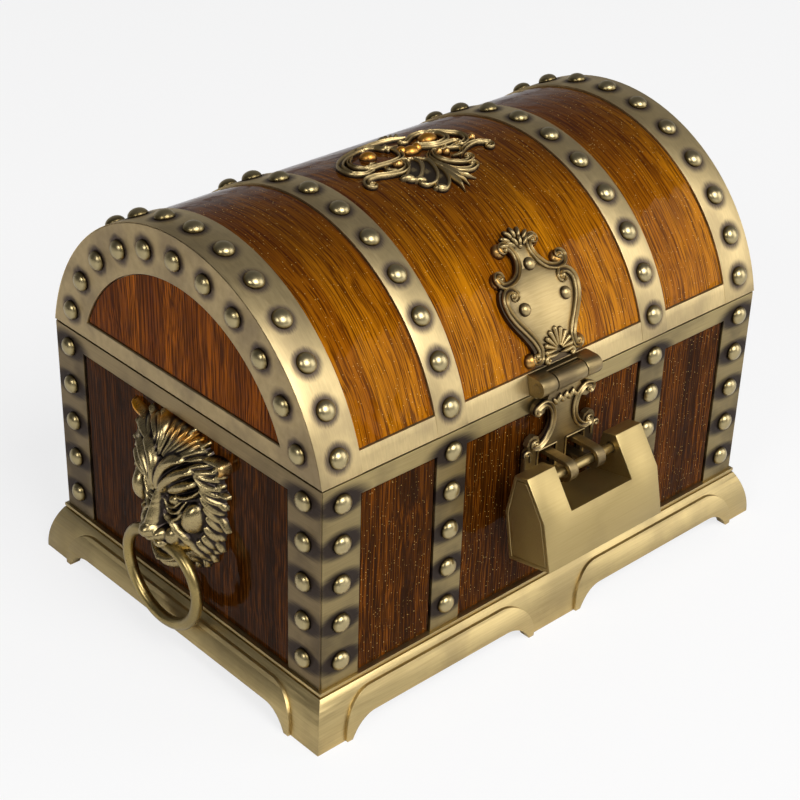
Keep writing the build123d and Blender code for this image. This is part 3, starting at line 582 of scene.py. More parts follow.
class Relief:
    """Raised ornament gathered into one mesh: scrolls, beads and plates, with how high each point stands."""

    # how far a form's foot goes under the height that it stands on, in millimetres
    sink = 0.3
    # points round a bead, and its levels from foot to top
    bead_count, bead_levels = 20, 6

    def __init__(self, place: Place) -> None:
        """Starts an empty relief laid out by a placing function."""
        self.place = place
        self.points: List[Vector] = []
        self.rise: List[float] = []
        self.tint: List[float] = []
        self.faces: List[Tuple[int, ...]] = []

    def add(self, across: float, up: float, out: float, rise: float, tint: float = 0.0) -> int:
        """Adds one point and returns its number."""
        self.points.append(self.place(across, up, out))
        self.rise.append(rise)
        self.tint.append(tint)
        return len(self.points) - 1

    def grid(self, rows: List[List[int]]) -> None:
        """Joins rings of points with quads."""
        for a, b in zip(rows, rows[1:]):
            for i in range(len(a)):
                j = (i + 1) % len(a)
                self.faces.append((a[i], a[j], b[j], b[i]))

    def close(self, rows: List[List[int]], top: int) -> None:
        """Joins rings of points, closes the last on a top point and caps the first."""
        self.grid(rows)
        last = rows[-1]
        for i in range(len(last)):
            self.faces.append((last[i], last[(i + 1) % len(last)], top))
        self.faces.append(tuple(reversed(rows[0])))

    def band(self, path: np.ndarray, widths: np.ndarray, rises: np.ndarray, shape: Sequence[Point],
             floor: float = 0.0) -> None:
        """Sweeps a cross-section along a path.

        Args:
            path: points across and up.
            widths: half widths along it.
            rises: heights along it.
            shape: the section as across from -1 to 1 and height from 0 to 1.
            floor: the height that it stands on.
        """
        delta = np.gradient(path, axis=0)
        delta /= np.linalg.norm(delta, axis=1)[:, None] + 1e-9
        normal = np.stack([-delta[:, 1], delta[:, 0]], axis=1)
        rows = []
        for point, side, width, rise in zip(path, normal, widths, rises):
            row = [self.add(*(point + side * width * shape[0][0]), floor - self.sink, 0.0)]
            for across, height in shape:
                row.append(self.add(*(point + side * width * across), floor + rise * height, height))
            row.append(self.add(*(point + side * width * shape[-1][0]), floor - self.sink, 0.0))
            rows.append(row)
        self.grid(rows)
        self.faces.append(tuple(rows[0]))
        self.faces.append(tuple(reversed(rows[-1])))

    def ridge(self, points: Sequence[Point], width: float, rise: float, floor: float = 0.0,
              head: Optional[Curl] = None, tail: Optional[Curl] = None, ends: float = 0.35,
              double: bool = True) -> None:
        """Sweeps a scroll whose ends may wind up in volutes, each with an eye.

        Args:
            points: its line.
            width: its greatest half width.
            rise: its greatest height.
            floor: the height that it stands on.
            head: the volute before its first point.
            tail: the volute after its last point.
            ends: its width at both ends as a share.
            double: whether a groove runs along its crest.
        """
        line = scroll(points, head, tail)
        widths = tapered(len(line), width, ends, ends)
        rises = tapered(len(line), rise, 0.75, 0.75)
        self.band(line, widths, rises, DOUBLE if double else ROUND, floor)
        for end, curled in ((line[0], head), (line[-1], tail)):
            if curled:
                self.bead(end[0], end[1], 0.75 * width, rise * 1.05, floor)

    def bead(self, across: float, up: float, radius: float, rise: float, floor: float = 0.0,
             stretch: float = 1.0, lean: float = 0.0, low: float = 0.0, tint: float = 0.0) -> None:
        """Adds a smooth boss.

        Args:
            across: its middle across.
            up: its middle up.
            radius: its half width in millimetres.
            rise: its height.
            floor: the height that it stands on.
            stretch: its length as a share of its width.
            lean: the turn of its length in degrees.
            low: the least that the patina takes it to rise.
            tint: how much enamel has caught on its top.
        """
        turn = math.radians(lean)

        def ring(share: float, out: float, rise: float, tint: float) -> List[int]:
            """One ring of the bead, at a share of its width."""
            row = []
            for i in range(self.bead_count):
                a = 2 * math.pi * i / self.bead_count
                u, v = radius * share * math.cos(a), radius * stretch * share * math.sin(a)
                x, y = u * math.cos(turn) - v * math.sin(turn), u * math.sin(turn) + v * math.cos(turn)
                row.append(self.add(across + x, up + y, out, rise, tint))
            return row

        rows = [ring(1.0, floor - self.sink, 0.0, 0.0)]
        for level in range(self.bead_levels):
            t = level / self.bead_levels * math.pi / 2
            high = math.sin(t)
            rows.append(ring(math.cos(t), floor + rise * high, max(low, high), tint * high))
        self.close(rows, self.add(across, up, floor + rise, 1.0, tint))

    def plate(self, outline: np.ndarray, thickness: float, dome: float, rings: int = 10,
              middle: Point = (0.0, 0.0), half: Point = (10.0, 10.0)) -> None:
        """Adds a plate inside an outline that swells towards its middle.

        Args:
            outline: points across and up, seen whole from the middle.
            thickness: its height at the outline.
            dome: how much higher its middle is.
            rings: how many steps from outline to middle.
            middle: the point that the rings close on.
            half: how far the dome reaches across and up from the middle.
        """
        centre = np.array(middle)

        def swell(p: np.ndarray, t: float) -> float:
            """The dome's share at a point, on the ring at a share of the outline."""
            far = ((p[0] - middle[0]) / half[0]) ** 2 + ((p[1] - middle[1]) / half[1]) ** 2
            return (1 - t**8) * math.exp(-1.6 * far)

        rows = [[self.add(*p, -self.sink, 0.0) for p in outline]]
        for ring in range(rings):
            t = 1 - ring / rings
            row = []
            for p in outline:
                q = centre + (p - centre) * t
                high = swell(q, t)
                row.append(self.add(*q, thickness + dome * high, 0.34 + 0.66 * high))
            rows.append(row)
        self.close(rows, self.add(*centre, thickness + dome, 1.0))

    def mesh(self, name: str) -> bpy.types.Mesh:
        """The gathered mesh, facing outwards, smooth, with its rise and tint attributes."""
        mesh = bpy.data.meshes.new(name)
        mesh.from_pydata([tuple(p) for p in self.points], [], self.faces)
        set_values(mesh, {"rise": self.rise, "tint": self.tint})
        smoothed(mesh, crease=50.0).validate()
        return mesh


# sections of a scroll as across and height: one with a groove along its crest, and a plain round one
HALF_DOUBLE = [(0.28, 0.42), (0.44, 0.86), (0.62, 1.0), (0.82, 0.9), (0.96, 0.55), (1.0, 0.1)]
DOUBLE = [(-x, y) for x, y in reversed(HALF_DOUBLE)] + [(0.0, 0.28)] + HALF_DOUBLE
ROUND = [(math.cos(a), math.sin(a)) for a in np.linspace(math.pi, 0, 9)]


def smooth_path(points: Sequence[Point], spacing: float = 0.35) -> np.ndarray:
    """A smooth line through a few points, with points at an even spacing in millimetres."""
    p = np.array(points, float)
    p = np.vstack([2 * p[0] - p[1], p, 2 * p[-1] - p[-2]])
    line = []
    for a, b, c, d in zip(p, p[1:], p[2:], p[3:]):
        steps = max(2, int(np.linalg.norm(c - b) / spacing))
        for i in range(steps):
            t = i / steps
            bent = (2 * a - 5 * b + 4 * c - d) * t**2 + (3 * b - a - 3 * c + d) * t**3
            line.append(0.5 * (2 * b + (c - a) * t + bent))
    line.append(p[-2])
    return np.array(line)


def both_halves(half: Sequence[Point], spacing: float = 0.6) -> np.ndarray:
    """A closed outline from the points of its right half, from top to bottom."""
    outline = smooth_path(half, spacing)
    return np.vstack([outline, outline[-2:0:-1] * [-1, 1]])


def curl(start: np.ndarray, heading: float, radius: float, turns: float, side: int) -> np.ndarray:
    """A volute that winds inwards from a point.

    Args:
        start: where it begins.
        heading: the direction there in radians.
        radius: its first radius in millimetres.
        turns: how many times it winds round.
        side: 1 to wind to the left, -1 to the right.

    Returns:
        The points after the start.
    """
    last, per_turn = 0.3, 22
    count = max(8, int(turns * per_turn))
    place, points = np.array(start, float), []
    turn = 2 * math.pi * turns / count
    for i in range(count):
        reach = radius * (last + (1 - last) * (1 - i / count))
        heading += side * turn
        place = place + reach * turn * np.array([math.cos(heading), math.sin(heading)])
        points.append(place)
    return np.array(points)


def scroll(points: Sequence[Point], head: Optional[Curl] = None, tail: Optional[Curl] = None) -> np.ndarray:
    """A smooth line whose ends may wind up in volutes."""
    line = smooth_path(points)
    if head:
        back = line[0] - line[1]
        line = np.vstack([curl(line[0], math.atan2(back[1], back[0]), *head)[::-1], line])
    if tail:
        on = line[-1] - line[-2]
        line = np.vstack([line, curl(line[-1], math.atan2(on[1], on[0]), *tail)])
    return line


def eased(share: np.ndarray) -> np.ndarray:
    """A share from 0 to 1 that starts and ends slowly."""
    return share * share * (3 - 2 * share)


def tapered(count: int, full: float, first: float, last: float, share: float = 0.25) -> np.ndarray:
    """Widths or heights that swell from first to full and sink to last along a line."""
    t = np.linspace(0, 1, count)
    start = np.clip(t / share, 0, 1)
    end = np.clip((1 - t) / share, 0, 1)
    return full * np.minimum(first + (1 - first) * eased(start), last + (1 - last) * eased(end))


# Sub-assemblies


@dataclass
class Rivets:
    """The domed rivet heads, set out by one Geometry Nodes tree on points that carry the way they face."""

    radius: float = CHEST.rivet_radius
    rise: float = CHEST.rivet_rise
    foot: float = 0.3
    finish: PolishedBrass = PolishedBrass("brass_rivet_buffed")

    def tree(self, material: bpy.types.Material) -> bpy.types.NodeTree:
        """The tree: a dome on every point, turned to its facing, with how high each part stands."""
        tree = bpy.data.node_groups.new("rivet_heads", "GeometryNodeTree")
        tree.interface.new_socket("Geometry", in_out="INPUT", socket_type="NodeSocketGeometry")
        for label, value in (("Radius", self.radius * MM), ("Rise", self.rise * MM)):
            socket = tree.interface.new_socket(label, in_out="INPUT", socket_type="NodeSocketFloat")
            socket.default_value = value
        tree.interface.new_socket("Geometry", in_out="OUTPUT", socket_type="NodeSocketGeometry")
        add = Graph(tree).add
        given = add("NodeGroupInput").outputs
        ball = add("GeometryNodeMeshUVSphere", Segments=24, Rings=12, Radius=1.0)
        x, y, z = add(SPLIT, None, add("GeometryNodeInputPosition")).outputs
        high = add(MATH, "MAXIMUM", z, 0.0)
        on_points = {"data_type": "FLOAT", "domain": "POINT"}
        tagged = add("GeometryNodeStoreNamedAttribute", on_points, Geometry=ball, Name="rise", Value=high)
        # the lower half of the ball is pressed flat into a foot that goes into the metal
        deep = add(MATH, "MULTIPLY", add(MATH, "MINIMUM", z, 0.0), self.foot * MM)
        sideways = (add(MATH, "MULTIPLY", part, given["Radius"]) for part in (x, y))
        shaped = add(JOIN, None, *sideways, add(MATH, "MULTIPLY_ADD", high, given["Rise"], deep))
        dome = add("GeometryNodeSetPosition", Geometry=tagged, Position=shaped)
        facing = add("GeometryNodeInputNamedAttribute", {"data_type": "FLOAT_VECTOR"}, Name="facing")
        turned = add("FunctionNodeAlignRotationToVector", {"axis": "Z"}, Vector=facing)
        heads = add("GeometryNodeInstanceOnPoints", Points=given["Geometry"], Instance=dome, Rotation=turned)
        smooth = add("GeometryNodeSetShadeSmooth",
                     Geometry=add("GeometryNodeRealizeInstances", Geometry=heads))
        add("NodeGroupOutput", Geometry=add("GeometryNodeSetMaterial", Geometry=smooth, Material=material))
        return tree

    def places(self) -> Dict[str, List[Tuple[Vector, Vector]]]:
        """The foot and facing of every head, for the chest and for the lid."""
        c, chest, lid = CHEST, [], []
        rows = (-c.front_rivet_x, -c.strap_x, c.strap_x, c.front_rivet_x)
        for n in range(5):
            z = c.rivet_top - n * c.rivet_pitch
            for s in (-1, 1):
                chest += [(c.point(x, s * c.depth / 2, z), Vector((0, s, 0))) for x in rows]
                for y in (-c.end_rivet_y, c.end_rivet_y):
                    chest.append((c.point(s * c.width / 2, y, z), Vector((s, 0, 0))))
        for n in range(-6, 7):
            a = math.radians(n * c.strap_rivet_turn)
            out = Vector((0, math.sin(a), math.cos(a)))
            y, z = out.y * c.barrel_radius, c.barrel_centre + out.z * c.barrel_radius
            lid += [(c.point(x, y, z), out) for x in rows]
        for n in range(-5, 6):
            a = math.radians(n * c.arch_rivet_turn)
            y, z = c.arch_rivet_radius * math.sin(a), c.barrel_centre + c.arch_rivet_radius * math.cos(a)
            lid += [(c.point(s * c.width / 2, y, z), Vector((s, 0, 0))) for s in (-1, 1)]
        return {"chest": chest, "lid": lid}

    def build(self) -> None:
        """Makes one piece of heads for each body."""
        material = self.finish.build()
        tree = self.tree(material)
        nodes = {"chest": ("front_rivets", "back_rivets", "left_rivets", "right_rivets"),
                 "lid": ("lid_strap_rivets", "lid_end_rivets_left", "lid_end_rivets_right")}
        sizes = {"Radius": self.radius * MM, "Rise": self.rise * MM}
        for body, places in self.places().items():
            points = bpy.data.meshes.new("rivet_points")
            points.from_pydata([tuple(p) for p, _ in places], [], [])
            facing = points.attributes.new("facing", "FLOAT_VECTOR", "POINT")
            facing.data.foreach_set("vector", np.array([tuple(f) for _, f in places], np.float32).ravel())
            carrier = bpy.data.objects.new("rivet_points", points)
            bpy.context.scene.collection.objects.link(carrier)
            modifier = carrier.modifiers.new("heads", "NODES")
            modifier.node_group = tree
            for item in tree.interface.items_tree:
                if item.in_out == "INPUT" and item.name in sizes:
                    modifier[item.identifier] = sizes[item.name]
            graph = bpy.context.evaluated_depsgraph_get()
            mesh = bpy.data.meshes.new_from_object(carrier.evaluated_get(graph))
            bpy.data.objects.remove(carrier)
            show(f"{body}_rivet_heads", mesh, body, "rivet_brass", [material], nodes[body])


@dataclass
class Shell:
    """The walls, the base and the lid's metal: rubbed copies of the cast parts in antique brass."""

    bevel: float = 0.3

    def build(self, frame: Dict) -> None:
        """Dresses every cast part of the shell."""
        # the walls and the base are brushed level, along X on front and back and along Y on the ends
        level, level_end = (0.03, 1.0, 1.0), (1.0, 0.03, 1.0)
        edge = AntiqueBrass("brass_edge_rubbed", "D8C98E", "BBA868", patina=0.1, roughness=0.28).build()
        front = AntiqueBrass("brass_wall_front", "C2AE7A", "9A8658", "2F2728", layout=Layout.FRONT, posts=0.3,
                             streaks=level).build()
        end = AntiqueBrass("brass_wall_end", "A8926A", "84704A", "3A302C", layout=Layout.END, posts=0.3,
                           streaks=level_end).build()
        barrel = AntiqueBrass("brass_lid_barrel", "DEC894", "BEA676", "453A3C", layout=Layout.BARREL,
                              streaks=(1.0, 0.1, 0.1), patina=0.3, roughness=0.44).build()
        arch = AntiqueBrass("brass_lid_end", "C6AE82", "A08A5E", "43373A", layout=Layout.ARCH,
                            streaks=(1.0, 0.2, 0.2)).build()
        base = AntiqueBrass("brass_base", streaks=level, patina=0.25, roughness=0.38).build()
        base_end = AntiqueBrass("brass_base_end", streaks=level_end, patina=0.25, roughness=0.38).build()
        jobs = {
            "chest": {"front_wall": front, "back_wall": front, "left_wall": end, "right_wall": end,
                      "base_front": base, "base_back": base, "base_left": base_end, "base_right": base_end},
            "lid": {"lid_barrel": barrel, "lid_end_left": arch, "lid_end_right": arch},
        }
        for body, dresses in jobs.items():
            for node, material in dresses.items():
                mesh = refined(frame["nodes"][node], node + "_cast", self.bevel)
                show(node + "_cast", mesh, body, "brass_cast", [material, edge], [node])


@dataclass
class Enamels:
    """The enamelled wood-grain fields of body and lid."""

    def build(self, frame: Dict) -> None:
        """Gives each field its enamel."""
        # the grain runs round the barrel, and up and down on the arches and the walls
        round_lid, upright = (1.0, 0.02, 1.0), (1.0, 1.0, 0.02)
        lid = WoodEnamel("enamel_amber_barrel", "BE780C", "864806", "421A02", round_lid,
                         round_barrel=True).build()
        arch = WoodEnamel("enamel_chestnut_arches", "B4600E", "74380A", "2C1204", upright, gloss=0.035,
                          cover=0.66).build()
        body = WoodEnamel("enamel_brown_fields", "7C420C", "442206", "1A0B02", upright, gloss=0.035,
                          cover=0.71).build()
        for name, node in frame["nodes"].items():
            if "panel" in name:
                node.data.materials.clear()
                node.data.materials.append({"lid_panels": lid, "lid_end_panels": arch}.get(name, body))
                log.info("%s: %d faces", name, len(node.data.polygons))


@dataclass
class Fittings:
    """The small cast and turned fittings whose CAD shape is kept, with rubbed edges."""

    def build(self, frame: Dict) -> None:
        """Dresses hinges, bracket, hasp, staples, padlock and plate."""
        edge = AntiqueBrass("brass_fitting_edge", "E2D49A", "C9B878", patina=0.0, roughness=0.25).build()
        satin = AntiqueBrass("brass_padlock_satin", "C2AC78", "AE9863", patina=0.12, roughness=0.4).build()
        cast = AntiqueBrass("brass_fitting_cast", "B49F6E", "867250", "372C2A", patina=0.55,
                            roughness=0.38).build()
        steel = AntiqueBrass("steel_spring_brushed", "B0B0AE", "8E8E8C", "4A4A48", patina=0.1).build()
        plate = AntiqueBrass("brass_bottom_plate", "8F8055", "6E6240", patina=0.5).build()
        # each fitting's finish, the width of its rubbed edge, its body and its slot
        jobs = {
            "padlock_case": (satin, 0.25, "lock_case", "padlock_brass"),
            "padlock_bar": (satin, 0.15, "lock_bolt", "padlock_brass"),
            "hasp_bracket": (cast, 0.3, "lid", "ornament_brass"),
            "hasp_pin": (cast, 0.1, "lid", "ornament_brass"),
            "hasp": (cast, 0.2, "hasp", "ornament_brass"),
            "staple_left": (cast, 0.2, "chest", "ornament_brass"),
            "staple_right": (cast, 0.2, "chest", "ornament_brass"),
            "hinge_body_leaves": (cast, 0.2, "chest", "hinge_brass"),
            "hinge_lid_leaves": (cast, 0.2, "lid", "hinge_brass"),
            "bottom_plate": (plate, 0.0, "chest", "bottom_metal"),
            "padlock_springs": (steel, 0.0, "lock_bolt", "spring_steel"),
        }
        for node, (material, bevel, body, slot) in jobs.items():
            mesh = refined(frame["nodes"][node], node + "_made", bevel)
            show(node + "_made", mesh, body, slot, [material, edge], [node])


class Sculpt:
    """A height field carved on a grid: each form stands on the ground and the highest shows."""

    # the height of bare ground, which is cut away, and how far under it the foot goes, in millimetres
    hidden, foot = -0.7, 0.4
    # reaches in millimetres that soften the carving, and that find its fine and its broad grooves
    soft, fine, broad = 0.2, 0.8, 2.4

    def __init__(self, low: Point, high: Point, pitch: float) -> None:
        """Starts a bare field between two corners, in millimetres."""
        across = np.arange(low[0], high[0] + pitch, pitch)
        up = np.arange(low[1], high[1] + pitch, pitch)
        self.u, self.v = np.meshgrid(across, up)
        self.half = np.abs(self.u)
        self.pitch = pitch
        self.height = np.full(self.u.shape, self.hidden)
        self.tint = np.zeros(self.u.shape)

    def lump(self, centre: Point, half: Point, lean: float, ground: Ground, rise: float,
             power: float = 0.6) -> None:
        """Lays an oval swelling on both halves.

        Args:
            centre: its middle on the right half.
            half: its half axes.
            lean: its turn in degrees.
            ground: the height that it stands on, a number or a field.
            rise: its own height.
            power: how round its top is, lower for flatter.
        """
        turn = math.radians(lean)
        x, y = self.half - centre[0], self.v - centre[1]
        a = (x * math.cos(turn) + y * math.sin(turn)) / half[0]
        b = (y * math.cos(turn) - x * math.sin(turn)) / half[1]
        inside = np.clip(1 - a * a - b * b, 0, None)
        value = ground + rise * inside**power
        self.height = np.where(inside > 0, np.maximum(self.height, value), self.height)

    def lock(self, points: Sequence[Point], width: float, ground: Ground, rise: float, root: float = 0.5,
             wide: float = 0.4, tip: float = 0.08, fall: float = 0.0, crest: Optional[Point] = None,
             power: float = 0.7, both: bool = True, tint: float = 0.0) -> None:
        """Lays a lock of hair or a ridge.

        Args:
            points: its line from root to tip.
            width: its greatest half width.
            ground: the height that it stands on, a number or a field.
            rise: its own height.
            root: its width at the root as a share.
            wide: where along it the greatest width lies.
            tip: its width at the tip as a share.
            fall: how much lower its ground is at the tip.
            crest: crest heights at root and tip that take the place of ground and rise.
            power: how round its crest is.
            both: whether the other half gets its mirror image.
            tint: how much enamel has caught on its tip.
        """
        line = smooth_path(points, 0.25)
        share = np.linspace(0, 1, len(line))
        across = self.half if both else self.u
        best, at = np.full(self.u.shape, 1e9), np.zeros(self.u.shape)
        for (x, y), t in zip(line, share):
            away = (across - x) ** 2 + (self.v - y) ** 2
            nearer = away < best
            best[nearer], at[nearer] = away[nearer], t
        before = root + (1 - root) * np.sin(np.clip(at / wide, 0, 1) * math.pi / 2)
        after = tip + (1 - tip) * np.sqrt(1 - np.clip((at - wide) / (1 - wide), 0, 1) ** 2)
        swell = np.where(at < wide, before, after)
        inside = np.clip(1 - best / (width * swell) ** 2, 0, None)
        if crest:
            value = crest[0] + (crest[1] - crest[0]) * at - rise * (1 - inside**power)
        else:
            value = ground - fall * at + rise * (0.45 + 0.55 * swell) * inside**power
        higher = (inside > 0) & (value > self.height)
        self.height = np.where(higher, value, self.height)
        self.tint = np.where(higher, tint * np.clip((at - 0.55) / 0.25, 0, 1), self.tint)

    def blurred(self, field: np.ndarray, reach: float) -> np.ndarray:
        """A field smoothed over a reach in millimetres."""
        radius = max(1, int(3 * reach / self.pitch))
        weights = np.exp(-0.5 * (np.arange(-radius, radius + 1) * self.pitch / reach) ** 2)
        weights /= weights.sum()
        for axis in (0, 1):
            padded = np.pad(field, [(radius, radius) if a == axis else (0, 0) for a in (0, 1)], mode="edge")
            size = field.shape[axis]
            field = sum(w * np.take(padded, range(i, i + size), axis) for i, w in enumerate(weights))
        return field

    def mesh(self, name: str, place: Place) -> bpy.types.Mesh:
        """A closed mesh of the field, with a rise attribute, low in its grooves and as painted shade on the
        mane's lower sides, and a tint attribute.
        """
        shape = self.blurred(self.height, self.soft)
        fine, broad = (shape - self.blurred(shape, reach) for reach in (self.fine, self.broad))
        # painted shade: the lower sides of the mane are made darker
        low = np.clip((9.0 - self.v) / 14.0, 0, 1) * np.clip((self.half - 9.0) / 6.0, 0, 1)
        rise = np.clip(0.5 + fine + 0.22 * broad, 0, 1) - 0.3 * low
        tint = self.blurred(self.tint, 0.4)
        keep = self.blurred(self.height, 0.5) > self.hidden + 0.02
        numbers = np.where(keep, np.cumsum(keep).reshape(keep.shape) - 1, -1)
        us, vs, under = self.u[keep], self.v[keep], self.hidden - self.foot
        points = [place(u, v, h) for u, v, h in zip(us, vs, shape[keep])]
        around = [numbers[:-1, :-1], numbers[:-1, 1:], numbers[1:, 1:], numbers[1:, :-1]]
        quads = np.stack(around, axis=-1).reshape(-1, 4)
        faces = [tuple(int(i) for i in row) for row in quads[quads.min(axis=1) >= 0]]
        steps = {(f[i], f[(i + 1) % 4]) for f in faces for i in range(4)}
        rim = [(a, b) for a, b in steps if (b, a) not in steps]
        foot = {}
        for a, _ in rim:
            foot[a] = len(points)
            points.append(place(us[a], vs[a], under))
        hub = len(points)
        points.append(place(0.0, float(self.v.mean()), under))
        faces += [(b, a, foot[a], foot[b]) for a, b in rim] + [(foot[b], foot[a], hub) for a, b in rim]
        mesh = bpy.data.meshes.new(name)
        mesh.from_pydata([tuple(p) for p in points], [], faces)
        below = np.zeros(len(points) - len(us))
        set_values(mesh, {"rise": np.append(rise[keep], below), "tint": np.append(tint[keep], below)})
        return smoothed(mesh)


@dataclass
class LionHandles:
    """The lion masks on the ends, carved from brow to chin with pointed locks, and their drop rings."""

    bar_height: float = 38.0
    stand_off: float = 8.6
    wire: float = 1.8
    bar_half: float = 5.0
    half_width: float = 16.4
    drop: float = 27.2
    mask_half: float = 21.5
    mask_middle: float = 13.6
    mask_rise: float = 23.0
    pitch: float = 0.23

    def reach(self, v: np.ndarray) -> np.ndarray:
        """The mask's half width at a height, which narrows towards the chin."""
        return self.mask_half - 0.008 * np.clip(20.0 - v, 0, None) ** 2

    def edge(self, angle: float, share: float = 1.0) -> Point:
        """A point on the mask's outline, at an angle in degrees from its middle."""
        turn = math.radians(angle)
        up = math.copysign(abs(math.sin(turn)) ** 0.7, math.sin(turn))
        v = self.mask_middle + share * self.mask_rise * up
        return share * float(self.reach(np.array(v))) * abs(math.cos(turn)) ** 0.7, v

    def carve(self) -> Sculpt:
        """The mask's height field."""
        s = Sculpt((-25.0, -14.0), (25.0, 39.5), self.pitch)
        inside = 1 - (s.half / (0.93 * self.reach(s.v))) ** 2.4 - (np.abs(s.v - 14.0) / 22.5) ** 3.2
        muzzle = np.exp(-((s.half / 6.8) ** 2 + ((s.v - 2.5) / 7.0) ** 2))
        frown = np.exp(-((s.half / 3.6) ** 2 + ((s.v - 20.0) / 6.5) ** 2))
        ground = 0.4 + 6.6 * np.clip(inside, 0, None) ** 0.55 + 4.6 * muzzle + 1.3 * frown
        s.height = np.where(inside > 0, np.maximum(s.height, ground - 0.9), s.height)
        self.mane(s, ground)
        self.brows(s, ground)
        self.muzzle(s)
        return s

    def mane(self, s: Sculpt, ground: np.ndarray) -> None:
        """Lays the locks: a low outer row, the fan above the brow, and those that sweep down the sides."""
        for n in range(21):
            angle = -78 + n * 8.2
            reach = 1.05 if n % 2 else 0.98
            line = [self.edge(angle + 8, 0.6), self.edge(angle + 5, 0.82), self.edge(angle, reach)]
            s.lock(line, 1.5, 0.2, 2.2, tip=0.02)
        fan = [
            [(-2.9, 27.6), (-3.6, 31.3), (-5.4, 33.8), (-9.4, 35.2)],
            [(-3.6, 28.4), (-5.8, 31.6), (-9.4, 33.4), (-13.4, 35.0)],
            [(-5.0, 28.4), (-9.0, 30.4), (-13.0, 31.0), (-17.0, 32.4)],
            [(-1.0, 27.6), (-0.7, 31.4), (-0.8, 34.6), (-1.7, 36.6)],
            [(-0.1, 27.8), (1.2, 31.2), (1.4, 34.4), (1.7, 36.8)],
            [(0.6, 27.8), (3.0, 31.9), (4.2, 34.9), (5.0, 36.6)],
            [(1.2, 27.8), (4.4, 31.8), (6.4, 34.6), (8.0, 36.4)],
            [(2.0, 28.0), (6.4, 32.0), (8.8, 34.6), (11.4, 36.2)],
            [(4.2, 28.9), (8.2, 31.8), (10.6, 34.2), (14.2, 35.6)],
        ]
        for line in fan:
            s.lock(line, 0.78, ground - 0.2, 1.7, root=0.5, wide=0.6, tip=0.1, fall=1.6, both=False, tint=0.8)
        s.lock([(-1.6, 27.6), (-1.9, 31.5), (-3.2, 34.5), (-5.6, 36.0), (-8.2, 36.6)], 1.25, ground - 0.2,
               2.2, root=0.35, wide=0.75, tip=0.2, fall=1.0, both=False, tint=1.0)
        s.lock([(-5.8, 28.6), (-10.0, 30.2), (-15.0, 31.4), (-19.0, 32.4), (-21.2, 34.0)], 1.9, ground - 0.2,
               2.8, root=0.25, wide=0.75, tip=0.3, fall=0.4, both=False, tint=1.0)
        # the locks of one side from the brow down to the chin, each with its width
        down = [
            (1.1, [(5.7, 29.0), (9.0, 31.4), (11.6, 32.7), (14.6, 33.4)]),
            (1.0, [(8.7, 29.5), (12.3, 31.0), (16.0, 31.8)]),
            (1.0, [(9.8, 28.0), (13.0, 29.3), (16.2, 30.0)]),
            (1.0, [(11.6, 27.6), (14.8, 27.8), (18.4, 28.4)]),
            (1.0, [(12.6, 26.8), (16.0, 26.2), (20.0, 25.6)]),
            (0.95, [(12.3, 26.3), (14.4, 24.5), (17.2, 23.5), (21.7, 23.0)]),
            (0.95, [(13.8, 24.8), (16.0, 22.7), (18.4, 21.4), (21.2, 20.8)]),
            (1.0, [(14.3, 22.8), (16.6, 20.2), (19.0, 18.8), (22.0, 18.2)]),
            (1.0, [(14.7, 20.4), (16.9, 17.5), (18.9, 15.7), (21.0, 14.6)]),
            (1.0, [(15.6, 17.3), (18.0, 14.1), (20.4, 11.0)]),
            (1.1, [(16.3, 14.2), (18.4, 10.6), (20.0, 7.4)]),
            (1.2, [(15.6, 10.4), (17.6, 6.6), (18.8, 3.0)]),
            (1.2, [(14.6, 7.0), (16.3, 3.0), (17.2, -0.6)]),
            (1.2, [(12.8, 4.6), (14.6, 0.8), (15.2, -3.6)]),
            (1.3, [(10.8, 2.4), (12.2, -1.8), (12.4, -6.4)]),
            (1.3, [(8.4, -1.4), (9.0, -5.0), (8.8, -9.2)]),
            (1.3, [(5.0, -5.6), (5.4, -8.0), (5.0, -10.6)]),
        ]
        for width, line in down:
            s.lock(line, 0.84 * width, ground - 0.3, 1.6, root=0.5, wide=0.35, tip=0.02, fall=1.2)
        s.lock([(14.2, 31.2), (17.0, 31.9), (20.4, 32.4), (21.6, 30.8), (20.0, 28.6)], 0.95, 2.4, 1.5,
               root=0.7, wide=0.6, tip=0.3, both=False, tint=0.6)

    def brows(self, s: Sculpt, ground: np.ndarray) -> None:
        """Lays the brows, the eyes with their folds, and the cheeks."""
        s.lump((5.2, 15.4), (5.2, 4.6), 0, ground - 1.3, 0.6)
        ridges = [
            (2.2, 3.3, 0.3, 0.2, [(7.6, 29.3), (5.2, 28.4), (2.6, 25.8), (1.3, 22.0), (0.9, 18.0)]),
            (2.2, 3.5, 0.4, 0.2, [(11.0, 27.2), (9.0, 26.2), (5.9, 23.6), (3.2, 20.4), (2.2, 17.4)]),
            (2.1, 3.4, 0.5, 0.5, [(12.4, 23.8), (10.2, 22.8), (7.8, 21.2), (5.6, 19.5)]),
        ]
        for width, rise, wide, tip, line in ridges:
            s.lock(line, width, ground, rise, root=0.55, wide=wide, tip=tip)
        s.lock([(14.2, 22.0), (12.2, 19.9), (9.2, 18.3), (6.2, 18.0)], 0.85, ground, 1.9, root=0.3, wide=0.5,
               tip=0.3)
        s.lump((5.0, 15.5), (2.0, 1.7), 20, ground - 0.6, 1.7)
        s.lump((4.9, 15.5), (0.7, 0.8), 0, ground + 0.6, 0.7)
        s.lock([(1.6, 15.0), (3.2, 13.4), (5.6, 13.5), (7.6, 15.9)], 0.55, ground, 1.2, root=0.6, tip=0.3)
        s.lock([(1.8, 13.5), (3.9, 11.7), (6.4, 12.0), (8.3, 14.2), (9.9, 17.0)], 0.6, ground - 0.1, 1.3,
               root=0.6, tip=0.3)
        s.lock([(1.4, 12.4), (2.6, 10.5), (4.6, 9.2), (6.9, 10.4), (8.6, 12.8)], 0.85, ground, 1.3, root=0.6,
               tip=0.4)
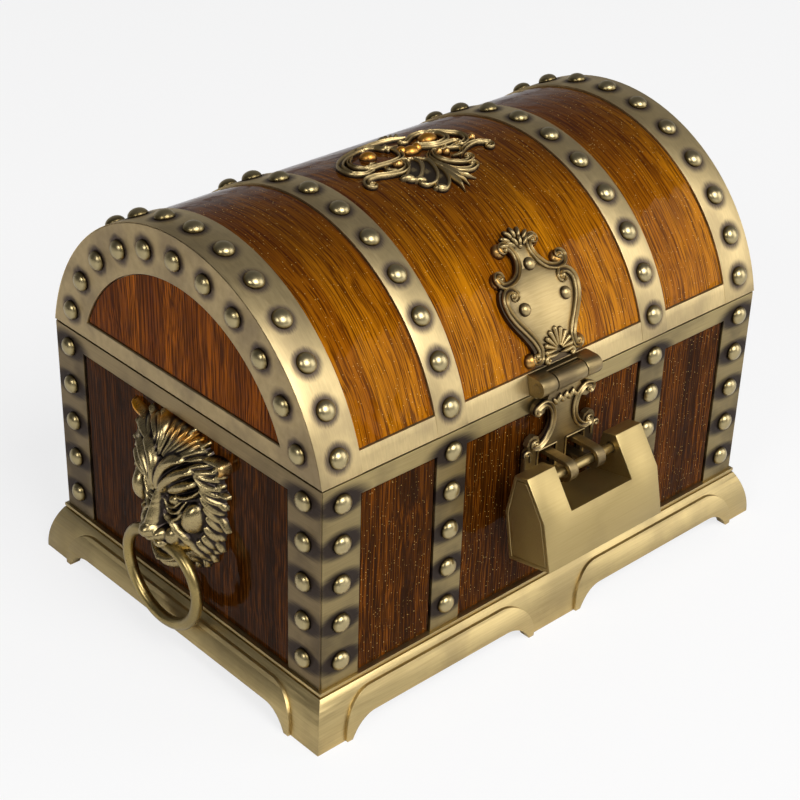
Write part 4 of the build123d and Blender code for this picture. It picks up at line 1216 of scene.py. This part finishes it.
        s.lock([(3.6, 10.2), (5.6, 8.6), (7.6, 6.8), (9.4, 4.7), (10.6, 2.6)], 0.9, ground, 1.7, root=0.5,
               tip=0.4)
        s.lump((12.1, 12.2), (3.3, 5.3), -12, ground - 0.4, 3.6, power=0.7)
        s.lump((8.6, 1.6), (3.6, 4.6), 20, ground - 0.5, 1.6)

    def muzzle(self, s: Sculpt) -> None:
        """Lays the nose, the lips and the jaw, and cuts the mouth and the nostrils."""
        s.lock([(0.0, 17.6), (0.0, 13.0), (0.0, 6.4)], 2.7, 0.0, 5.4, root=0.35, wide=0.95, tip=0.9,
               crest=(9.8, 14.4), power=0.6)
        s.lump((0.0, 5.6), (3.1, 2.9), 0, 10.2, 5.4, power=0.5)
        s.lump((3.2, 4.9), (2.0, 2.1), 0, 9.4, 4.0)
        s.lump((5.6, 4.6), (2.8, 3.2), 0, 7.8, 3.0, power=0.6)
        s.lump((2.1, 1.3), (2.5, 1.9), -10, 8.8, 3.4)
        s.lock([(0.0, -5.4), (3.2, -5.0), (6.2, -3.2)], 1.4, 0.0, 3.2, root=1.0, wide=0.2, tip=0.4,
               crest=(10.6, 8.0))
        s.lump((0.0, -7.2), (5.6, 3.2), 0, 3.0, 5.6)
        mouth = np.clip(1 - (s.half / 6.2) ** 2 - ((s.v + 2.1) / 1.7) ** 2, 0, 1)
        s.height -= 5.0 * np.sqrt(mouth)
        s.lump((0.0, -3.0), (3.0, 1.2), 0, 6.4, 2.0)
        nostril = np.clip(1 - ((s.half - 1.7) / 0.9) ** 2 - ((s.v - 3.4) / 0.8) ** 2, 0, 1)
        s.height -= 3.0 * np.sqrt(nostril)

    def ring_line(self) -> np.ndarray:
        """The ring's centre line across and up, a bar with its two corners and a round foot."""
        centre = -(self.drop - self.half_width)
        rise = -centre
        corner = (self.half_width**2 - self.bar_half**2 - rise**2) / (2 * (self.half_width - rise))
        start = math.atan2(-corner - centre, self.bar_half)
        points = [(x, 0.0) for x in np.linspace(-self.bar_half, self.bar_half, 6)]
        for t in np.linspace(math.pi / 2, start, 10)[1:]:
            points.append((self.bar_half + corner * math.cos(t), -corner + corner * math.sin(t)))
        for t in np.linspace(start, -math.pi - start, 48)[1:]:
            points.append((self.half_width * math.cos(t), centre + self.half_width * math.sin(t)))
        for t in np.linspace(math.pi - start, math.pi / 2, 10)[1:-1]:
            points.append((-self.bar_half + corner * math.cos(t), -corner + corner * math.sin(t)))
        return np.array(points)

    def ring(self, side: Side) -> bpy.types.Mesh:
        """The closed wire of one ring."""
        place = on_end(side, self.bar_height)
        line = self.ring_line()
        ahead = np.roll(line, -1, axis=0) - np.roll(line, 1, axis=0)
        ahead /= np.linalg.norm(ahead, axis=1)[:, None]
        count, around, points, faces = len(line), 20, [], []
        for (x, y), (dx, dy) in zip(line, ahead):
            for n in range(around):
                a = 2 * math.pi * n / around
                beside, out = self.wire * math.cos(a), self.wire * math.sin(a)
                points.append(tuple(place(x - dy * beside, y + dx * beside, self.stand_off + out)))
        for i in range(count):
            for n in range(around):
                j, m = (i + 1) % count, (n + 1) % around
                faces.append((i * around + n, i * around + m, j * around + m, j * around + n))
        mesh = bpy.data.meshes.new("ring")
        mesh.from_pydata(points, [], faces)
        return smoothed(mesh)

    def build(self) -> None:
        """Makes both masks and both rings."""
        mask = AntiqueBrass("brass_mask_carved", "CCB886", "938158", "292326", patina=0.25, roughness=0.28,
                            relief=True).build()
        wire = AntiqueBrass("brass_ring_drawn", "C2AB70", "93804F", "3C342B", patina=0.3,
                            roughness=0.3).build()
        carved = self.carve()
        for side, name in ((Side.LEFT, "left"), (Side.RIGHT, "right")):
            mesh = carved.mesh(f"lion_mask_{name}", on_end(side, self.bar_height))
            show(f"lion_mask_{name}", mesh, "chest", "mask_metal", [mask], ["lion_masks"])
            show(f"drop_ring_{name}", self.ring(side), f"ring_{name}", "mask_metal", [wire],
                 [f"ring_handle_{name}"])


def mirrored(points: Sequence[Point], side: int) -> List[Point]:
    """The points, or their mirror image where side is -1."""
    return [(side * x, y) for x, y in points]


@dataclass
class Ornaments:
    """The cast ornaments of lid and hasp: double-ridged scrolls, leaves, a shell and studs."""

    plate_turn: float = 56.0
    plate_height: float = 1.5
    stud_radius: float = 1.9
    hasp_front: float = -62.7
    hasp_level: float = 70.0

    def escutcheon(self) -> bpy.types.Mesh:
        """The shield above the hasp, with two pairs of scrolls, a leaf crest and a scallop shell."""
        r = Relief(on_barrel(self.plate_turn))
        high = self.plate_height
        shield = [(0, 12.0), (3.8, 10.4), (7.0, 8.0), (10.6, 7.4), (13.6, 6.0), (15.0, 3.0), (14.7, -0.8),
                  (13.2, -4.4), (11.0, -8.0), (9.0, -11.4), (8.6, -13.6), (9.8, -16.4), (5.0, -17.3),
                  (0, -17.4)]
        neck = [(0, 19.0), (3.2, 18.6), (4.8, 16.8), (3.7, 14.8), (3.6, 12.5), (4.6, 10.2), (6.4, 7.6),
                (4.0, 6.6), (0, 6.4)]
        r.plate(both_halves(shield), high, 1.3, rings=14, middle=(0.0, -1.0), half=(12.0, 14.0))
        r.plate(both_halves(neck), high, 0.8, rings=8, middle=(0.0, 13.0), half=(4.5, 7.0))
        upper = [(4.5, 17.0), (3.3, 15.0), (3.2, 12.5), (4.2, 10.1), (6.1, 8.0), (9.0, 6.9), (11.8, 7.1),
                 (13.0, 8.6)]
        lower = [(8.7, 4.3), (9.8, 5.4), (12.0, 5.0), (13.4, 3.1), (13.4, 0.3), (12.2, -2.8), (10.0, -6.1),
                 (7.9, -9.2), (6.6, -12.2), (6.8, -14.6)]
        for side in (-1, 1):
            for x, y, size in ((6.3, 16.6, 2.3), (11.8, 9.0, 2.5), (9.6, -14.9, 2.2)):
                r.bead(side * x, y, size, 2.3, low=0.3, tint=0.5)
            for line, width, head in ((upper, 1.05, (1.5, 0.85, -side)), (lower, 1.15, (1.25, 0.8, side))):
                r.ridge(mirrored(line, side), width, 1.35, high, head=head, tail=(1.5, 0.85, side), ends=0.55)
        self.leaf_crest(r)
        self.shell(r)
        for x, y in ((0.0, 10.1), (-8.1, -0.8), (8.1, -0.8)):
            r.bead(x, y, self.stud_radius, 1.5, high + 0.8, low=0.3)
        return r.mesh("escutcheon")

    def leaf_crest(self, r: Relief) -> None:
        """Adds the crest above the escutcheon: an outer and an inner fan of leaves round a berry."""
        high = self.plate_height
        r.bead(0.0, 19.7, 0.72, 1.5, high + 0.3, stretch=2.6, low=0.2)
        for x, y, lean in ((1.9, 19.4, 26), (3.7, 18.3, 52), (5.0, 16.9, 78), (1.0, 17.3, 16),
                           (2.8, 16.7, 48)):
            for side in (1, -1):
                r.bead(side * x, y, 0.72, 1.5, high + 0.3, stretch=2.6, lean=-side * lean, low=0.2)
        r.bead(0.0, 15.4, 0.8, 1.3, high + 0.4)

    def shell(self, r: Relief) -> None:
        """Adds the scallop shell at the escutcheon's foot: nine beaded ribs over a small scroll."""
        base, floor = -14.2, self.plate_height + 0.5
        for n in range(9):
            turn = math.radians(-88 + n * 22)
            reach = 5.7 - 0.9 * abs(math.sin(turn))
            x, y = reach * math.sin(turn), reach * math.cos(turn)
            line = smooth_path([(0.25 * x, base + 0.2 * y), (x, base + y)], 0.5)
            r.band(line, np.linspace(0.34, 0.84, len(line)), np.linspace(0.9, 1.3, len(line)), ROUND, floor)
            r.bead(x, base + y, 0.86, 1.25, floor)
        for side in (-1, 1):
            line = mirrored([(0.3, -15.2), (2.4, -15.4), (4.6, -15.2)], side)
            r.ridge(line, 0.7, 1.2, floor, tail=(1.0, 0.8, -side), double=False)

    def crown(self) -> bpy.types.Mesh:
        """The open scrollwork on the crown: C-scrolls, studs, shell lobes and leaves."""
        r = Relief(on_barrel(0.0))
        # each scroll's half width, the volutes at its head and at its tail, and its line
        scrolls = [
            (1.3, (1.4, 0.7, 1), None, [(-6.2, 8.6), (-6.9, 11.9), (-10.7, 13.6), (-18.1, 11.1), (-23.7, 7.1),
                                        (-25.6, 3.3), (-25.4, -0.2), (-22.6, -2.2), (-18.9, -1.6)]),
            (0.7, None, (1.3, 0.6, 1), [(-16.6, 10.0), (-20.7, 6.8), (-22.2, 3.0), (-20.4, 0.0),
                                        (-17.4, -0.4)]),
            (0.95, (1.3, 0.6, 1), (1.1, 0.7, -1), [(-4.2, 6.1), (-5.2, 2.1), (-7.2, -0.5), (-11.4, -1.3),
                                                   (-16.5, -0.9), (-18.9, -1.0)]),
            (1.05, (1.0, 0.6, -1), (1.5, 0.85, 1), [(-8.3, -2.6), (-8.9, -4.8), (-10.4, -6.2), (-13.4, -7.1),
                                                    (-17.6, -6.4), (-21.6, -5.2), (-24.9, -5.5),
                                                    (-26.3, -7.2)]),
            (0.55, None, None, [(-15.2, -2.3), (-15.8, -4.4), (-13.3, -6.6)]),
            (1.0, (1.3, 0.6, -1), (1.0, 0.6, -1), [(2.5, 7.9), (7.6, 10.8), (11.8, 10.4), (13.9, 6.2),
                                                   (12.9, 1.8), (7.6, 0.5), (3.1, 3.4)]),
            (0.75, None, None, [(2.0, 2.0), (6.1, -0.8), (12.6, -1.0), (13.6, -2.6), (9.3, -3.9),
                                (5.3, -2.5)]),
            (0.6, (0.9, 0.6, -1), None, [(7.7, -3.5), (11.0, -5.4), (9.3, -7.8), (6.1, -7.6)]),
            (1.0, (1.6, 0.8, 1), (1.2, 0.8, -1), [(14.1, 8.9), (16.3, 5.4), (18.2, 1.8), (17.2, -2.0),
                                                  (14.4, -3.6)]),
            (0.8, (1.0, 0.7, -1), (1.3, 0.85, 1), [(3.0, -2.9), (1.6, -6.0), (3.0, -9.6), (7.2, -12.0),
                                                   (10.2, -11.5)]),
            (1.0, None, (1.2, 0.8, 1), [(2.6, -1.9), (-0.3, -4.4), (-1.0, -8.5), (0.0, -11.5), (2.6, -14.2),
                                        (6.0, -15.3), (8.9, -14.6)]),
            (0.85, None, (1.5, 0.85, -1), [(8.0, -9.0), (12.4, -6.2), (17.6, -5.2), (20.8, -7.0)]),
            (0.8, (1.2, 0.7, 1), None, [(-10.6, 13.8), (-4.0, 14.6), (1.3, 13.4), (5.4, 11.4)]),
        ]
        for width, head, tail, line in scrolls:
            r.ridge(line, 0.95 * width, 1.6, head=head, tail=tail, ends=0.5)
        self.lobes(r)
        leaves = [[(-1.6, -10.4), (-1.5, -14.4), (-1.3, -17.5), (-2.0, -22.0)],
                  [(-0.8, -8.0), (0.6, -13.4), (2.4, -17.0), (4.9, -19.0)],
                  [(-1.2, -9.0), (0.0, -14.6), (0.6, -18.0), (1.0, -20.6)]]
        for points in leaves:
            line = smooth_path(points, 0.4)
            r.band(line, tapered(len(line), 1.15, 0.4, 0.1, 0.5), tapered(len(line), 1.9, 0.7, 0.4), ROUND)
        # the studs among the scrolls: across, up, radius, stretch and lean
        studs = [(-13.2, 7.0, 2.2, 1.2, 50), (9.5, 6.4, 2.6, 1.25, 80), (-1.2, 2.0, 2.1, 1.3, 70),
                 (1.6, 2.6, 1.5, 1.2, 0), (-3.4, 3.6, 1.5, 1.2, 30), (4.4, -3.8, 1.15, 1.0, 0),
                 (6.2, -5.0, 1.15, 1.0, 0), (19.3, -2.0, 1.3, 1.0, 0), (-10.8, -3.2, 1.2, 1.4, 70)]
        for x, y, radius, stretch, lean in studs:
            tint = 1.0 if radius > 1.4 else 0.5
            r.bead(x, y, radius, 2.2, stretch=stretch, lean=lean, low=0.25, tint=tint)
        for n in range(5):
            turn = -50 + n * 28
            x, y = 3.2 * math.sin(math.radians(turn)), 3.2 * math.cos(math.radians(turn))
            r.bead(2.0 + x, 13.4 + y, 0.8, 1.8, stretch=2.2, lean=-turn, low=0.3)
        return r.mesh("crown_ornament")

    def lobes(self, r: Relief) -> None:
        """Adds the three hollow lobes of the shell, each with a rolled rim that a bead ends."""
        lobes = [
            [(-6.9, -2.0), (-4.9, -2.8), (-4.8, -5.7), (-7.9, -9.9), (-12.0, -12.2), (-14.4, -11.0),
             (-12.6, -8.8), (-9.6, -6.4)],
            [(-4.2, -2.6), (-1.9, -5.9), (-3.9, -11.9), (-7.6, -15.4), (-11.2, -15.6), (-12.0, -13.4),
             (-8.4, -10.6), (-4.6, -6.6)],
            [(-1.5, -6.1), (-1.6, -12.0), (-3.5, -16.5), (-6.5, -19.0), (-8.7, -18.8), (-8.6, -16.8),
             (-4.2, -12.4)],
        ]
        for line in lobes:
            closed = smooth_path(line + line[:1], 0.5)
            r.plate(closed[:-1], 0.6, 0.0, rings=4, middle=tuple(closed[:-1].mean(axis=0)), half=(0.8, 0.8))
            outer, inner = closed[:int(len(closed) * 0.62)], closed[int(len(closed) * 0.58):]
            r.band(outer, tapered(len(outer), 0.62, 0.5, 1.0), tapered(len(outer), 1.6, 0.8, 1.0), ROUND)
            r.band(inner, tapered(len(inner), 0.5, 1.0, 0.5), tapered(len(inner), 1.4, 0.9, 0.7), ROUND)
            x, y = line[len(line) // 2 + 1]
            r.bead(x + 0.7, y + 0.7, 1.2, 1.9, stretch=2.0, lean=62, low=0.5)

    def hasp_scrolls(self) -> bpy.types.Mesh:
        """The hasp's scrolls, its leaf crest and the raised rims of its windows."""
        r = Relief(on_front(self.hasp_front, self.hasp_level))
        upper = [(10.9, 8.0), (8.4, 8.7), (6.2, 7.4), (4.9, 5.3), (4.4, 2.6), (4.9, -0.4), (6.6, -3.1),
                 (9.0, -4.9), (11.0, -5.0)]
        lower = [(12.6, -9.4), (12.5, -7.0), (13.4, -5.6)]
        window = [(2.0, -15.2), (2.0, -6.6), (9.6, -6.6), (9.6, -15.2)]
        steps = 12
        for side in (-1, 1):
            r.ridge(mirrored(upper, side), 1.0, 1.1, head=(1.2, 0.85, -side), tail=(1.2, 0.85, side),
                    ends=0.6)
            r.ridge(mirrored(lower, side), 0.55, 0.9, tail=(1.0, 0.85, -side), double=False)
            for a, b in zip(window, window[1:]):
                line = np.linspace(a, b, steps) * [side, 1]
                r.band(line, np.full(steps, 0.32), np.full(steps, 0.55), ROUND)
        for n in range(7):
            x = -3.9 + n * 1.3
            r.bead(x, 7.5 + 0.6 * (n % 2), 0.72, 1.15, stretch=2.3, lean=-34 if n % 2 else 34, low=0.1)
        return r.mesh("hasp_scrolls")

    def build(self) -> None:
        """Makes the three ornaments."""
        cast = AntiqueBrass("brass_ornament_cast", "C6AF7E", "9C8658", "352B2C", patina=0.3, roughness=0.38,
                            relief=True).build()
        show("escutcheon", self.escutcheon(), "lid", "ornament_brass", [cast],
             ["cartouche", "cartouche_studs"])
        show("crown_ornament", self.crown(), "lid", "ornament_brass", [cast], ["top_ornament"])
        show("hasp_scrolls", self.hasp_scrolls(), "hasp", "ornament_brass", [cast])


@dataclass
class Linings:
    """The linings: thin wadded pads covered in flocked velvet, crowned between their tucked edges."""

    half_length: float = 83.8
    half_depth: float = 56.7
    low: float = 18.0
    high: float = 79.7
    lid_low: float = 82.5
    radius: float = 57.85
    thickness: float = 1.4
    tuck: float = 0.4
    crown: float = 0.7
    rumple: float = 0.12
    cell: float = 3.0

    def pad(self, bm: bmesh.types.BMesh, face: Callable[[float, float, float], Vector], size: Point) -> None:
        """One closed pad with a crowned, slightly rumpled face.

        Args:
            bm: the mesh that gets it.
            face: takes two shares from 0 to 1 and a depth in millimetres to a point.
            size: its width and height in millimetres.
        """
        across, up = (max(6, int(s / self.cell)) for s in size)
        rng = np.random.default_rng(int(size[0] * 7 + size[1]))
        phase = rng.uniform(0, 6.28, 6)
        front, back = [], []
        for j in range(up + 1):
            for i in range(across + 1):
                s, t = i / across, j / up
                swell = (1 - (2 * s - 1) ** 8) * (1 - (2 * t - 1) ** 8)
                x, y = s * size[0], t * size[1]
                waves = math.sin(x / 9 + phase[0]) * math.sin(y / 7 + phase[1])
                waves += 0.6 * math.sin((x + y) / 5 + phase[2])
                depth = self.thickness - self.tuck + swell * (self.crown + self.rumple * waves)
                front.append(bm.verts.new(face(s, t, depth)))
                back.append(bm.verts.new(face(s, t, 0.0)))
        row = across + 1
        for j in range(up):
            for i in range(across):
                a, b, c, d = j * row + i, j * row + i + 1, (j + 1) * row + i + 1, (j + 1) * row + i
                bm.faces.new((front[a], front[b], front[c], front[d]))
                bm.faces.new((back[d], back[c], back[b], back[a]))
        rim = [i for i in range(across)] + [j * row + across for j in range(up)]
        rim += [up * row + i for i in range(across, 0, -1)] + [j * row for j in range(up, 0, -1)]
        for a, b in zip(rim, rim[1:] + rim[:1]):
            bm.faces.new((back[a], back[b], front[b], front[a]))

    def finish(self, bm: bmesh.types.BMesh, body: str, velvet: bpy.types.Material) -> None:
        """Turns the gathered pads of a body into one padded piece."""
        name = f"{body}_velvet_pads"
        mesh = bpy.data.meshes.new(name)
        bm.to_mesh(mesh)
        bm.free()
        piece = show(name, smoothed(mesh), body, "velvet", [velvet], [f"{body}_lining"])

    def chest_pads(self, bm: bmesh.types.BMesh) -> None:
        """Adds the pads on the floor and on the four walls of the chest."""
        x, y, low, tall = self.half_length, self.half_depth, self.low, self.high - self.low
        # a wall's pad starts a little above the floor's, and a long one ends short of the corners
        lift, short = 0.2, 2.2

        def up(t: float) -> float:
            """The height at a share of a wall's pad."""
            return low + lift + t * (tall - lift)

        self.pad(bm, lambda s, t, d: CHEST.point(x * (2 * s - 1), y * (2 * t - 1), low + d), (2 * x, 2 * y))
        for sign in (-1, 1):
            self.pad(bm, lambda s, t, d: CHEST.point((x - short) * (2 * s - 1), sign * (y - d), up(t)),
                     (2 * x, tall))
            self.pad(bm, lambda s, t, d: CHEST.point(sign * (x - d), y * (2 * s - 1), up(t)), (2 * y, tall))

    def lid_pads(self, bm: bmesh.types.BMesh) -> None:
        """Adds the pads under the barrel and on the two ends of the lid."""
        x, low, middle = self.half_length, self.lid_low, CHEST.barrel_centre
        foot = math.acos((low - middle) / self.radius)

        def roof(s: float, t: float, d: float) -> Vector:
            """A point of the pad under the barrel."""
            angle, far = foot * (2 * s - 1), self.radius - d
            return CHEST.point(x * (2 * t - 1), far * math.sin(angle), middle + far * math.cos(angle))

        self.pad(bm, roof, (2 * foot * self.radius, 2 * x))
        for sign in (-1, 1):

            def end(s: float, t: float, d: float) -> Vector:
                """A point of the pad on one end."""
                angle, far = (foot - 0.03) * (2 * s - 1), self.radius - 2.3
                top = middle + far * math.cos(angle)
                return CHEST.point(sign * (x - d), far * math.sin(angle), low + t * max(0.3, top - low))

            self.pad(bm, end, (2 * foot * self.radius, self.radius))

    def build(self) -> None:
        """Makes the linings of chest and lid."""
        velvet = FlockedVelvet().build()
        for body, gather in (("chest", self.chest_pads), ("lid", self.lid_pads)):
            bm = bmesh.new()
            gather(bm)
            self.finish(bm, body, velvet)


@dataclass
class Studio:
    """A pale floor, soft lamps and the camera where the photograph was taken from."""

    camera_place: Triple = (-348.01, -363.21, 346.05)
    azimuth: float = -43.4312
    elevation: float = 30.6826
    roll: float = 1.8594
    lens: float = 84.86
    sensor: float = 36.0
    paper: float = 0.78
    floor_half: float = 6.0
    aim: Triple = (0.0, 0.0, 0.06)

    def camera(self) -> None:
        """The camera, turned a little about its own axis as the photograph is."""
        data = bpy.data.cameras.new("camera")
        data.lens = self.lens
        data.sensor_width = self.sensor
        data.clip_start, data.clip_end = 0.01, 20.0
        camera = bpy.data.objects.new("camera", data)
        bpy.context.scene.collection.objects.link(camera)
        az, el, roll = (math.radians(v) for v in (self.azimuth, self.elevation, self.roll))
        back = Vector((math.sin(az) * math.cos(el), -math.cos(az) * math.cos(el), math.sin(el)))
        right = (-back).cross(Vector((0, 0, 1))).normalized()
        up = right.cross(-back)
        across = right * math.cos(roll) + up * math.sin(roll)
        above = up * math.cos(roll) - right * math.sin(roll)
        turn = Matrix((across, above, back)).transposed().to_4x4()
        camera.matrix_world = Matrix.Translation(CHEST.point(*self.camera_place)) @ turn
        bpy.context.scene.camera = camera

    def lamp(self, name: str, place: Triple, size: Point, power: float) -> None:
        """One soft box that faces the chest, at a place and of a size in metres, with its power in watts."""
        data = bpy.data.lights.new(name, "AREA")
        data.shape = "RECTANGLE"
        data.size, data.size_y = size
        data.energy = power
        lamp = bpy.data.objects.new(name, data)
        lamp.location = place
        lamp.rotation_mode = "QUATERNION"
        lamp.rotation_quaternion = (Vector(self.aim) - Vector(place)).to_track_quat("-Z", "Y")
        bpy.context.scene.collection.objects.link(lamp)

    def surroundings(self) -> None:
        """A grey room that is darker overhead and on the left."""
        world = bpy.data.worlds.new("studio")
        world.use_nodes = True
        add = Graph(world.node_tree).add
        x, _, z = add(SPLIT, None, add(COORDINATES).outputs["Generated"]).outputs
        stops = ((0.0, "A8A8A8"), (0.35, "808082"), (1.0, "64646A"))
        sky = add("ShaderNodeValToRGB", {"stops": stops}, add(RANGE, SMOOTH, z, -0.1, 1.0))
        # the room is darker on the left, which gives the rivets their dark flanks
        dim = add(MATH, "MULTIPLY_ADD", add(RANGE, SMOOTH, x, -0.8, 0.2), 0.62, 0.38)
        add("ShaderNodeOutputWorld", Surface=add("ShaderNodeBackground", Color=sky, Strength=dim))
        bpy.context.scene.world = world

    def floor(self) -> None:
        """A pale paper floor, which the camera sees as nearly white with the shadow left on it."""
        wide = self.floor_half
        mesh = bpy.data.meshes.new("floor")
        square = [(-wide, -wide, 0), (wide, -wide, 0), (wide, wide, 0), (-wide, wide, 0)]
        mesh.from_pydata(square, [], [(0, 1, 2, 3)])
        floor = bpy.data.objects.new("floor", mesh)
        bpy.context.scene.collection.objects.link(floor)
        material, graph = new_material("floor_pale_paper")
        add = graph.add
        paper = add("ShaderNodeBsdfPrincipled", Base_Color="F6F6F6", Roughness=0.9, Specular_IOR_Level=0.1)
        glow = add("ShaderNodeEmission", Color="FFFFFF", Strength=1.0)
        seen = add(MATH, "MULTIPLY", add("ShaderNodeLightPath").outputs["Is Camera Ray"], self.paper)
        add("ShaderNodeOutputMaterial", Surface=add("ShaderNodeMixShader", None, seen, paper, glow))
        mesh.materials.append(material)

    def build(self) -> None:
        """Sets up camera, lamps and surroundings."""
        self.camera()
        self.lamp("key", (-0.1, -1.5, 1.5), (1.2, 1.2), 35.0)
        self.lamp("fill", (1.5, -1.3, 0.7), (1.2, 1.4), 12.0)
        self.lamp("left", (-1.5, -0.5, 1.1), (0.5, 0.5), 8.0)
        self.surroundings()
        self.floor()
        bpy.context.scene.view_settings.view_transform = "Standard"


def main(frame: Dict) -> None:
    """Builds the chest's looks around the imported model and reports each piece.
    """
    logging.basicConfig(level=logging.INFO, format="%(message)s")
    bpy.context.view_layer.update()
    Studio().build()
    Shell().build(frame)
    Enamels().build(frame)
    Linings().build()
    Rivets().build()
    Fittings().build(frame)
    LionHandles().build()
    Ornaments().build()


if __name__ == "__main__":
    main(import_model())
